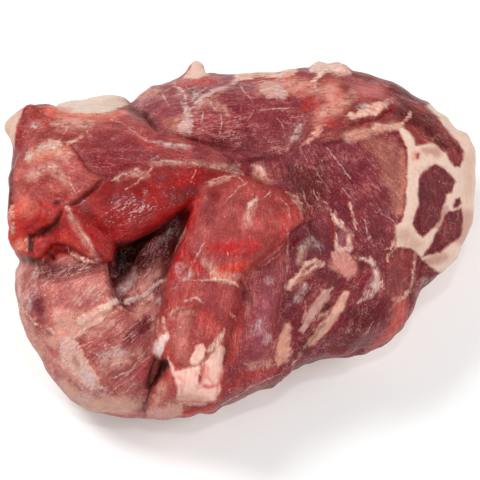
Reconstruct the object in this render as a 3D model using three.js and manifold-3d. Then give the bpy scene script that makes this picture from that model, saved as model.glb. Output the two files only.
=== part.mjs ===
// A raw boneless pork butt: a block of shoulder meat lying on its fat cap, with the side that the
// blade bone was cut from laid open. Muscles and flaps lie over each other on that open face.
// Millimetres, +Z up, the piece rests on z = 0, and the origin is under the middle of its box.
import * as THREE from "three";
import { mergeVertices } from "three/addons/utils/BufferGeometryUtils.js";
import Module from "manifold-3d";

// Driving dimensions, in mm and degrees.
const FACE_TILT = 60; // the open face looks forward and up, this far above the horizon
const FACE_HEIGHT = 43; // height of the middle of the face plane above the table
const RIM_DEPTH = 3; // the widest outline of the piece, out from the face plane
const RIM_SLOPE = -0.28; // the outline falls back towards the top of the face
const CROWN = 47; // how far the face domes out over the outline
const CROWN_EDGE = 2.5; // 2 is an ellipse, more is a flatter dome with a rounder edge
const UNDER_EDGE = 2.5; // the same for the sides and the underside
const UNDER_DEPTH = 1.22; // how far the underside would reach, as a share of the outline's height
const FLAP_RIDE = 0.93; // flaps follow the dome this far out, and then keep its height
const LOBE_EDGE = 2.5; // roundness of a muscle's edge, as for the crown
const TABLE_CUT = 400; // side of the block that trims the resting face
const CORE_DETAIL = 13; // subdivisions of the icosahedron that the block of meat starts from
const OUTLINE_STEPS = 240; // short straight stretches in a smoothed outline
const SAME_POINT = 1e-5; // corners closer than this on the unit ball are one corner

const tilt = THREE.MathUtils.degToRad(FACE_TILT);
const ACROSS = new THREE.Vector3(1, 0, 0);
const UP = new THREE.Vector3(0, Math.sin(tilt), Math.cos(tilt));
const OUT = new THREE.Vector3(0, -Math.cos(tilt), Math.sin(tilt));
const INTO_FACE = OUT.clone().negate();
const DOWN = new THREE.Vector3(0, 0, -1);
const HEART = new THREE.Vector3(0, 0, FACE_HEIGHT);

// Outlines lie on the face plane as [across, up] from the middle of the face, counter-clockwise.
const CORE_OUTLINE = [
  [142, 55], [133, 71], [107, 88], [76, 100], [44, 103], [12, 103], [-18, 101], [-44, 94],
  [-67, 82], [-102, 77], [-130, 72], [-137, 54], [-135, 20], [-136, -15], [-134, -36],
  [-123, -58], [-110, -77], [-97, -94], [-78, -103], [-56, -103], [-32, -105], [-12, -101],
  [10, -90], [36, -74], [62, -67], [85, -59], [97, -45], [109, -28], [124, -16], [136, -3],
  [143, 14],
];

// Each muscle or flap: its middle and outline on the face, how far its edge is lifted off the
// dome, how high it crowns over its edge, how deep it is rooted, and the subdivisions of its
// icosahedron. Some also have a ride of their own, as for FLAP_RIDE, or an edge, as for LOBE_EDGE.
const MUSCLES = {
  pocket_floor: {
    middle: [-53, -24], lift: -13, crown: 6, root: 30, detail: 4,
    outline: [
      [-29, 22], [-38, 16], [-48, 7], [-57, -5], [-64, -17], [-72, -28], [-76, -44], [-62, -54],
      [-46, -46], [-38, -28], [-34, -6], [-28, 10],
    ],
  },
  top_centre: {
    middle: [-2, 74], lift: -3, crown: 11, root: 8, detail: 4,
    outline: [
      [44, 82], [40, 90], [24, 93], [-6, 92], [-30, 90], [-52, 83], [-64, 78], [-60, 71],
      [-45, 60], [-24, 56], [0, 50], [6, 46], [21, 48], [31, 57], [41, 69],
    ],
  },
  top_right: {
    middle: [70, 78], lift: -3, crown: 8, root: 8, detail: 4,
    outline: [
      [104, 76], [92, 85], [70, 93], [50, 95], [44, 86], [42, 69], [50, 59], [62, 60],
      [78, 67], [93, 70],
    ],
  },
  cut_face: {
    middle: [74, 22], lift: -4, crown: 6, root: 8, detail: 5, edge: 3.4,
    outline: [
      [120, 18], [118, 36], [106, 54], [93, 66], [78, 63], [62, 56], [46, 56], [27, 50],
      [25, 30], [34, 12], [46, -6], [66, -16], [88, -12], [106, -10], [116, 2],
    ],
  },
  bottom_right: {
    middle: [74, -42], lift: -2, crown: 8, root: 8, detail: 4,
    outline: [
      [100, -34], [97, -20], [86, -13], [66, -26], [50, -45], [40, -62], [52, -65], [76, -62],
      [92, -52],
    ],
  },
  lower_middle: {
    middle: [41, -28], lift: -4, crown: 7, root: 8, detail: 3,
    outline: [
      [64, -26], [57, -12], [42, 1], [30, 9], [25, -16], [24, -42], [28, -62], [37, -64],
      [49, -49],
    ],
  },
  bottom_centre: {
    middle: [9, -46], lift: -3, crown: 10, root: 8, detail: 3,
    outline: [
      [26, -36], [24, -13], [13, -12], [0, -25], [-7, -46], [-8, -68], [0, -78], [12, -73],
      [23, -60],
    ],
  },
  left_bottom: {
    middle: [-92, -55], lift: -3, crown: 10, root: 9, detail: 5,
    outline: [
      [-47, -48], [-62, -45], [-73, -32], [-79, -8], [-106, -7], [-127, -12], [-131, -30],
      [-125, -52], [-112, -75], [-97, -92], [-80, -100], [-62, -100], [-57, -92], [-51, -74],
    ],
  },
  bottom_tip: {
    middle: [-42, -95], lift: -3, crown: 9, root: 9, detail: 3,
    outline: [
      [-24, -96], [-32, -86], [-41, -74], [-48, -82], [-53, -94], [-54, -101], [-44, -104],
      [-32, -103],
    ],
  },
  left_flap: {
    middle: [-84, 38], lift: 3, crown: 14, root: 30, detail: 5, ride: FLAP_RIDE, edge: 3,
    outline: [
      [-12, 36], [-1, 41], [-4, 47], [-24, 55], [-45, 60], [-57, 70], [-68, 77], [-84, 76],
      [-99, 75], [-111, 78], [-126, 80], [-133, 70], [-136, 54], [-136, 34], [-136, 14], [-132, 0],
      [-118, -2], [-104, 4], [-87, 4], [-73, 2], [-58, 4], [-42, 13], [-27, 24],
    ],
  },
  left_plate: {
    middle: [-112, 34], lift: 8, crown: 11, root: 30, detail: 4, ride: FLAP_RIDE, edge: 3.2,
    outline: [
      [-86, 37], [-95, 52], [-104, 61], [-120, 61], [-132, 50], [-138, 27], [-135, 8],
      [-119, 9], [-108, 14], [-96, 21],
    ],
  },
  red_roll: {
    middle: [-56, 16], lift: 8, crown: 12, root: 26, detail: 4, ride: FLAP_RIDE,
    outline: [
      [-17, 33], [-23, 38], [-45, 38], [-66, 31], [-84, 24], [-86, 9], [-77, -1], [-70, -6],
      [-59, -2], [-44, 7], [-29, 18],
    ],
  },
  flap_tail: {
    middle: [-89, 0], lift: 6, crown: 8, root: 26, detail: 3, ride: FLAP_RIDE,
    outline: [
      [-72, -10], [-77, 0], [-84, 8], [-96, 12], [-108, 5], [-107, -4], [-100, -5],
      [-94, -9], [-84, -13], [-73, -15],
    ],
  },
  flap_tip: {
    middle: [-122, 14], lift: 12, crown: 10, root: 28, detail: 3, ride: FLAP_RIDE,
    outline: [
      [-109, 13], [-110, 20], [-117, 26], [-127, 26], [-135, 19], [-137, 9], [-131, 1],
      [-122, 1], [-115, 6],
    ],
  },
  flap_curl: {
    middle: [-124, -4], lift: 8, crown: 8, root: 24, detail: 3, ride: FLAP_RIDE,
    outline: [
      [-109, -1], [-115, 3], [-126, 6], [-136, 6], [-136, -2], [-129, -12], [-120, -14],
      [-113, -10],
    ],
  },
  tongue_top: {
    middle: [2, 6], lift: 3, crown: 15, root: 28, detail: 5, edge: 2.8,
    outline: [
      [40, 12], [38, 19], [28, 26], [16, 32], [3, 40], [-9, 37], [-21, 31], [-27, 20],
      [-31, 7], [-37, -8], [-38, -24], [-24, -30], [-9, -29], [5, -22], [14, -12], [25, -3],
      [35, 4],
    ],
  },
  tongue_bottom: {
    middle: [-25, -50], lift: 3, crown: 14, root: 28, detail: 4, edge: 2.8,
    outline: [
      [-3, -42], [4, -26], [-2, -10], [-20, -4], [-36, -8], [-43, -22], [-46, -39],
      [-48, -55], [-48, -67], [-40, -78], [-38, -93], [-25, -97], [-15, -92], [-11, -80],
      [-9, -66], [-6, -55],
    ],
  },
  tongue_fat: {
    middle: [-24, -83], lift: 6, crown: 12, root: 28, detail: 3,
    outline: [
      [-10, -80], [-9, -70], [-18, -64], [-30, -70], [-41, -74], [-39, -94], [-26, -98],
      [-14, -93],
    ],
  },
};

// Fat left on the far edge, which shows past the outline and runs down the back from there. The
// sizes are those of a muscle, but the root hangs straight down.
const FAT_FRINGES = {
  flap_fringe: {
    middle: [-92, 76], lift: -4, crown: 5, root: 26, detail: 3,
    outline: [
      [-64, 76], [-68, 85], [-82, 85], [-98, 82], [-112, 78], [-112, 68], [-90, 64], [-66, 68],
    ],
  },
  flap_corner: {
    middle: [-127, 65], lift: -4, crown: 5, root: 26, detail: 3,
    outline: [
      [-116, 62], [-121, 77], [-134, 77], [-141, 69], [-135, 54], [-120, 50],
    ],
  },
  top_spike: {
    middle: [-27, 96], lift: -3, crown: 5, root: 26, detail: 3,
    outline: [
      [-12, 92], [-21, 99], [-25, 108], [-28, 108], [-33, 101], [-46, 92], [-28, 84],
    ],
  },
  top_knob: {
    middle: [54, 98], lift: -3, crown: 6, root: 26, detail: 3,
    outline: [
      [68, 95], [62, 105], [54, 104], [47, 106], [40, 98], [44, 90], [58, 88],
    ],
  },
};

// Hollows between the muscles, cut into the core before the flaps are laid over it.
const HOLLOWS = {
  flap_pocket: {
    middle: [-58, -13], lift: 6, crown: 10, root: 46, detail: 4, edge: 1.3,
    outline: [
      [-28, 24], [-42, 22], [-66, 15], [-81, 0], [-80, -14], [-76, -32], [-70, -50],
      [-54, -46], [-44, -34], [-38, -20], [-30, 2],
    ],
  },
  bottom_crease: {
    middle: [-50, -84], lift: 6, crown: 8, root: 17, detail: 3,
    outline: [
      [-46, -82], [-42, -66], [-46, -64], [-51, -77], [-56, -96], [-60, -105], [-57, -107],
      [-52, -96],
    ],
  },
};

// Swellings (and, where by is less than 0, dents) of the sides: place, reach and height.
const SWELLS = {
  back_left: { at: [-88, 84, 34], reach: 58, by: 6 },
  back_waist: { at: [-34, 104, 44], reach: 34, by: -6 },
  back_middle: { at: [18, 98, 30], reach: 62, by: 6 },
  back_fold: { at: [66, 92, 58], reach: 30, by: -5 },
  back_right: { at: [104, 66, 34], reach: 54, by: 5 },
  right_side: { at: [132, -6, 16], reach: 42, by: -5 },
  right_front: { at: [104, -66, 18], reach: 40, by: 6 },
  left_side: { at: [-132, 22, 16], reach: 46, by: -7 },
  left_front: { at: [-108, -76, 14], reach: 44, by: 3 },
  front_waist: { at: [34, -92, 14], reach: 40, by: -5 },
};

// Waves that leave the whole surface a little uneven: direction, wavelength and height.
const WAVES = [
  { along: [0.9, 0.3, 0.3], length: 97, height: 1.8, start: 0.4 },
  { along: [-0.4, 0.9, 0.2], length: 71, height: 1.5, start: 2.1 },
  { along: [0.3, -0.5, 0.8], length: 53, height: 1.2, start: 4.0 },
  { along: [0.7, 0.7, -0.2], length: 41, height: 0.7, start: 5.2 },
];

const { PI, abs, hypot, atan2, cos, sin, min, max } = Math;

// A smooth closed outline as a function of the angle round its middle: the farthest reach there.
function reachOf(outline, middle) {
  const corners = outline.map(([a, b]) => new THREE.Vector3(a - middle[0], b - middle[1], 0));
  const curve = new THREE.CatmullRomCurve3(corners, true, "centripetal");
  const line = curve.getPoints(OUTLINE_STEPS);
  return (angle) => {
    const dx = cos(angle);
    const dy = sin(angle);
    let reach = 0;
    for (let i = 0; i + 1 < line.length; i += 1) {
      const p = line[i];
      const ex = line[i + 1].x - p.x;
      const ey = line[i + 1].y - p.y;
      const det = ex * dy - ey * dx;
      if (det === 0) continue;
      const along = (p.y * dx - p.x * dy) / det;
      if (along < 0 || along > 1) continue;
      reach = max(reach, (p.x + along * ex) * dx + (p.y + along * ey) * dy);
    }
    return reach;
  };
}

// The half extents of an outline, so that a long shape gets its points evenly.
function halfExtents(outline, middle) {
  return [0, 1].map((k) => max(...outline.map((p) => abs(p[k] - middle[k]))));
}

const dome = (share, edge) => (1 - min(1, share) ** edge) ** (1 / edge);
const rimDepth = (up) => RIM_DEPTH + RIM_SLOPE * up;
const coreReach = reachOf(CORE_OUTLINE, [0, 0]);

// How far the dome of the face stands out over the face plane at a place on it.
function faceDepth(across, up, ride) {
  const share = hypot(across, up) / coreReach(atan2(up, across));
  return rimDepth(up) + CROWN * dome(min(share, ride), CROWN_EDGE);
}

function onFace(across, up, out) {
  return HEART.clone()
    .addScaledVector(ACROSS, across)
    .addScaledVector(UP, up)
    .addScaledVector(OUT, out);
}

// How far the waves lift the surface at a place.
function unevenness(place) {
  return WAVES.reduce((sum, { along, length, height, start }) => {
    const phase = (2 * PI * place.dot(new THREE.Vector3(...along))) / length + start;
    return sum + height * sin(phase);
  }, 0);
}

// The place moved away from the heart of the piece by its swellings and waves.
function swollen(place) {
  const outwards = place.clone().sub(HEART).normalize();
  let by = unevenness(place);
  for (const swell of Object.values(SWELLS)) {
    const far = place.distanceTo(new THREE.Vector3(...swell.at)) / swell.reach;
    if (far < 1) by += swell.by * (1 - far * far) ** 2;
  }
  return place.addScaledVector(outwards, by);
}

// A closed shape from a subdivided icosahedron, each point of which is moved to place(x, y, z).
function moulded(detail, place) {
  const ball = new THREE.IcosahedronGeometry(1, detail);
  ball.deleteAttribute("normal");
  ball.deleteAttribute("uv");
  const shape = mergeVertices(ball, SAME_POINT);
  const spots = shape.attributes.position;
  const at = new THREE.Vector3();
  for (let i = 0; i < spots.count; i += 1) {
    at.fromBufferAttribute(spots, i).normalize();
    const moved = place(at.x, at.y, at.z);
    spots.setXYZ(i, moved.x, moved.y, moved.z);
  }
  return shape;
}

// The block of meat: the face domes out of the outline, and the sides round under to the table.
function coreShape() {
  const extents = halfExtents(CORE_OUTLINE, [0, 0]);
  return moulded(CORE_DETAIL, (x, y, z) => {
    const share = hypot(x, y);
    const angle = atan2(y * extents[1], x * extents[0]);
    const reach = coreReach(angle);
    if (z >= 0) {
      const across = reach * cos(angle) * share;
      const up = reach * sin(angle) * share;
      return swollen(onFace(across, up, rimDepth(up) + CROWN * dome(share, CROWN_EDGE)));
    }
    const rimUp = reach * sin(angle);
    const rim = onFace(reach * cos(angle), rimUp, rimDepth(rimUp));
    const sunk = 1 - UNDER_DEPTH * dome(share, UNDER_EDGE);
    return swollen(new THREE.Vector3(rim.x * share, rim.y * share, rim.z * sunk));
  });
}

// A muscle, flap, fringe or hollow that rides on the dome of the face, with its root along inward.
function lobeShape(part, inward = INTO_FACE) {
  const { middle, outline, lift, crown, root, detail, ride = 1, edge = LOBE_EDGE } = part;
  const reachAt = reachOf(outline, middle);
  const extents = halfExtents(outline, middle);
  return moulded(detail, (x, y, z) => {
    const share = hypot(x, y);
    const angle = atan2(y * extents[1], x * extents[0]);
    const reach = reachAt(angle) * share;
    const across = middle[0] + reach * cos(angle);
    const up = middle[1] + reach * sin(angle);
    const place = onFace(across, up, faceDepth(across, up, ride) + lift);
    place.addScaledVector(OUT, unevenness(place));
    if (z >= 0) return place.addScaledVector(OUT, crown * dome(share, edge));
    return place.addScaledVector(inward, root * dome(share, edge));
  });
}

const wasm = await Module();
wasm.setup();

function solid(shape) {
  return new wasm.Manifold(
    new wasm.Mesh({
      numProp: 3,
      vertProperties: new Float32Array(shape.attributes.position.array),
      triVerts: new Uint32Array(shape.index.array),
    }),
  );
}

function tableBlock() {
  const block = new THREE.BoxGeometry(TABLE_CUT, TABLE_CUT, TABLE_CUT);
  block.translate(0, 0, -TABLE_CUT / 2);
  block.deleteAttribute("normal");
  block.deleteAttribute("uv");
  return mergeVertices(block);
}

function porkButt() {
  let meat = solid(coreShape());
  for (const hollow of Object.values(HOLLOWS)) meat = meat.subtract(solid(lobeShape(hollow)));
  for (const muscle of Object.values(MUSCLES)) meat = meat.add(solid(lobeShape(muscle)));
  for (const fringe of Object.values(FAT_FRINGES)) meat = meat.add(solid(lobeShape(fringe, DOWN)));
  meat = meat.subtract(solid(tableBlock()));
  const { vertProperties, triVerts } = meat.getMesh();
  const shape = new THREE.BufferGeometry()
    .setAttribute("position", new THREE.BufferAttribute(vertProperties, 3))
    .setIndex(new THREE.BufferAttribute(triVerts, 1));
  shape.computeBoundingBox();
  const middle = shape.boundingBox.getCenter(new THREE.Vector3());
  shape.translate(-middle.x, -middle.y, -shape.boundingBox.min.z);
  shape.computeVertexNormals();
  return shape;
}

const meatFinish = new THREE.MeshStandardMaterial({
  color: new THREE.Color(0.5, 0.13, 0.13),
  roughness: 0.38,
  metalness: 0,
});

const group = new THREE.Group();
const porkButtMesh = new THREE.Mesh(porkButt(), meatFinish);
porkButtMesh.name = "pork_butt";
group.add(porkButtMesh);

export default group;
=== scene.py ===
import math
from types import SimpleNamespace

import bmesh
import bpy
import numpy as np
from mathutils import Matrix, Vector, noise
from mathutils.bvhtree import BVHTree
from mathutils.kdtree import KDTree


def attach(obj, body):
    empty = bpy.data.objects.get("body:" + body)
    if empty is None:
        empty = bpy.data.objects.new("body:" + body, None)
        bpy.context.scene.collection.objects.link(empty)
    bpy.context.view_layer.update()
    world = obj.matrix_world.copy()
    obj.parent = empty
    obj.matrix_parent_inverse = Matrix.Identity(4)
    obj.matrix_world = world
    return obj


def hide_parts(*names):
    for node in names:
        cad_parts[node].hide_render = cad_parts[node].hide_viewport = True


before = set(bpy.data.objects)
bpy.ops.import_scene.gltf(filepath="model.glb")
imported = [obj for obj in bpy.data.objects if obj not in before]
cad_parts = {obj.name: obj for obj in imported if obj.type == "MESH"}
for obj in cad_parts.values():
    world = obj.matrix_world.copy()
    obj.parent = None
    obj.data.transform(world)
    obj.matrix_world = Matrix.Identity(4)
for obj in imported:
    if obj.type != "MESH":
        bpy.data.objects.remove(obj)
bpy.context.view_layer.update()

# A raw boneless pork butt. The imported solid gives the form. Here it gets its relief, and its meat, fat,
# silver skin and blood are painted from named strokes. They are placed by photo points: u runs right and v
# runs down, from 0 to 480, and one point covers 0.6 mm of the open face. Most strokes are chains of discs
# (u, v, radius). After the camera and the mesh come the tables of strokes, then the other sizes and
# colours, then the functions.

MILLIMETRE = 0.001
# One photo point on the open face, in millimetres.
POINT_SIZE = 0.6
FRAME_SIZE = 480
# Farther than any two photo points are apart.
FAR = 1000.0

# The camera looks down on the open face. ACROSS, UP and OUT are its right, up and backward directions.
CAMERA_ELEVATION = math.radians(60)
CAMERA_DISTANCE = 1.61
CAMERA_AIM = np.array([0, 0.0013, 0.0458])
FARTHEST_SEEN = 50
LENS = 200
SENSOR = 36
ACROSS = np.array([1.0, 0.0, 0.0])
UP = np.array([0.0, math.sin(CAMERA_ELEVATION), math.cos(CAMERA_ELEVATION)])
OUT = np.array([0.0, -math.cos(CAMERA_ELEVATION), math.sin(CAMERA_ELEVATION)])

# Mesh: fine where the camera looks, coarser on the side that it doesn't see.
VOXEL = 1.25 * MILLIMETRE
TRIANGLES = 188000
# Each round of smoothing moves a vertex by this share of the way to its neighbours' middle: less along a
# crease, up to CREASE_HOLD from it, and more from CREASE_FREE on. The ends in POINTS_KEPT lose most of it.
SMOOTH_ROUNDS = 26
SMOOTH_CREASE = 0.2
SMOOTH_OPEN = 0.5
SMOOTH_KEPT = 0.85
SHARP_EDGE = math.radians(32)
SAME_PLACE = 0.01 * MILLIMETRE
CREASE_HOLD = 2.0 * MILLIMETRE
CREASE_FREE = 5.0 * MILLIMETRE

# Muscle regions. Each has an outline in photo points, a colour, the point that its fibres run towards, and
# how much marbling it has. "rings" marks fibres that run round that point instead.
REGIONS = {
    "flap": dict(
        outline=[(128, 107), (100, 112), (60, 106), (26, 104), (12, 128), (14, 165), (45, 147), (70, 146),
            (104, 178), (150, 166), (200, 166), (244, 173), (240, 161), (185, 139), (152, 125)],
        colour=(158, 76, 74), towards=(300, 176), marbling=0.25),
    "plate": dict(
        outline=[(12, 160), (26, 164), (45, 148), (72, 147), (88, 168), (104, 178), (88, 192), (68, 207),
            (50, 203), (6, 205)],
        colour=(186, 98, 90), towards=(-150, 100), marbling=0.35),
    "roll": dict(
        outline=[(104, 178), (147, 168), (200, 167), (243, 173), (205, 182), (192, 202), (189, 221),
            (165, 233), (140, 247), (118, 250), (78, 212), (68, 207)],
        colour=(150, 36, 42), towards=(330, 120), marbling=-0.2),
    "flap_tip": dict(
        outline=[(5, 198), (30, 196), (60, 203), (62, 217), (52, 230), (62, 245), (58, 264), (18, 264),
            (4, 240)],
        colour=(190, 72, 64), towards=(300, 60), marbling=-0.2),
    "flap_tail": dict(
        outline=[(66, 207), (82, 214), (100, 236), (118, 243), (112, 262), (98, 262), (62, 248), (58, 228)],
        colour=(172, 60, 58), towards=(60, 190), marbling=-0.1),
    "pocket": dict(
        outline=[(118, 250), (140, 247), (165, 233), (189, 221), (186, 235), (176, 258), (163, 280),
            (158, 306), (112, 310), (104, 285), (112, 262)],
        colour=(120, 62, 64), towards=(215, 140), marbling=1.3),
    "left_fibres": dict(
        outline=[(44, 286), (80, 279), (106, 270), (116, 292), (110, 303), (86, 318), (58, 322), (46, 310)],
        colour=(200, 122, 112), towards=(190, 170), marbling=1.0),
    "left_bottom": dict(
        outline=[(12, 262), (55, 258), (100, 262), (106, 270), (80, 279), (44, 286), (46, 310), (58, 322),
            (86, 318), (110, 303), (158, 306), (163, 330), (162, 358), (146, 400), (142, 420), (85, 412),
            (50, 378), (20, 328)],
        colour=(184, 112, 104), towards=(350, 150), marbling=1.0),
    "tongue": dict(
        outline=[(188, 213), (206, 183), (228, 174), (250, 178), (285, 192), (302, 203), (308, 214),
            (306, 222), (290, 230), (288, 241), (280, 252), (268, 260), (256, 268), (246, 284), (240, 300),
            (228, 330), (224, 400), (185, 422), (148, 422), (150, 380), (162, 340), (163, 300), (168, 270)],
        colour=(174, 80, 76), towards=(250, 40), marbling=0.2),
    "bottom_centre": dict(
        outline=[(256, 268), (280, 252), (288, 241), (287, 262), (286, 282), (281, 300), (275, 345),
            (275, 378), (225, 412), (224, 380), (228, 330), (240, 300), (246, 284)],
        colour=(158, 78, 82), towards=(262, 60), marbling=0.35),
    "cut_face": dict(
        outline=[(244, 172), (250, 160), (287, 153), (300, 141), (340, 140), (372, 134), (396, 130),
            (407, 147), (406, 186), (407, 202), (404, 214), (396, 225), (394, 246), (375, 255), (360, 259),
            (335, 262), (318, 258), (304, 264), (287, 280), (288, 241), (290, 230), (306, 222), (308, 212),
            (302, 203), (270, 185)],
        colour=(132, 60, 68), towards=(240, 20), marbling=0.3),
    "lower_right": dict(
        outline=[(286, 282), (304, 264), (318, 258), (335, 262), (360, 259), (375, 255), (384, 250),
            (386, 266), (383, 286), (390, 300), (410, 290), (425, 262), (445, 268), (422, 292), (409, 315),
            (392, 345), (346, 360), (303, 366), (272, 388), (275, 345), (281, 300)],
        colour=(128, 56, 64), towards=(430, 130), marbling=0.4),
    "lower_oval": dict(
        outline=[(384, 250), (396, 246), (411, 248), (415, 262), (413, 278), (410, 290), (400, 300),
            (390, 300), (383, 286), (386, 266)],
        colour=(146, 74, 72), towards=(380, 60), marbling=0.2),
    "top_centre": dict(
        outline=[(128, 103), (150, 86), (190, 58), (240, 68), (312, 62), (322, 74), (312, 92), (306, 112),
            (300, 132), (288, 154), (242, 162), (210, 147), (165, 135), (143, 114)],
        colour=(150, 76, 80), towards=(-200, 150), marbling=0.5),
    "top_right": dict(
        outline=[(311, 60), (347, 64), (389, 78), (437, 106), (476, 136), (470, 165), (455, 180),
            (440, 158), (408, 140), (396, 130), (372, 134), (340, 140), (300, 141), (288, 154), (300, 132),
            (306, 112), (312, 92), (322, 74)],
        colour=(154, 80, 76), towards=(340, 235), rings=True, marbling=0.3),
    "rim": dict(
        outline=[(408, 140), (440, 158), (476, 140), (480, 225), (445, 275), (411, 248), (396, 225),
            (407, 202)],
        colour=(116, 44, 54), towards=(360, 200), rings=True, marbling=0.1),
}

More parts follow.
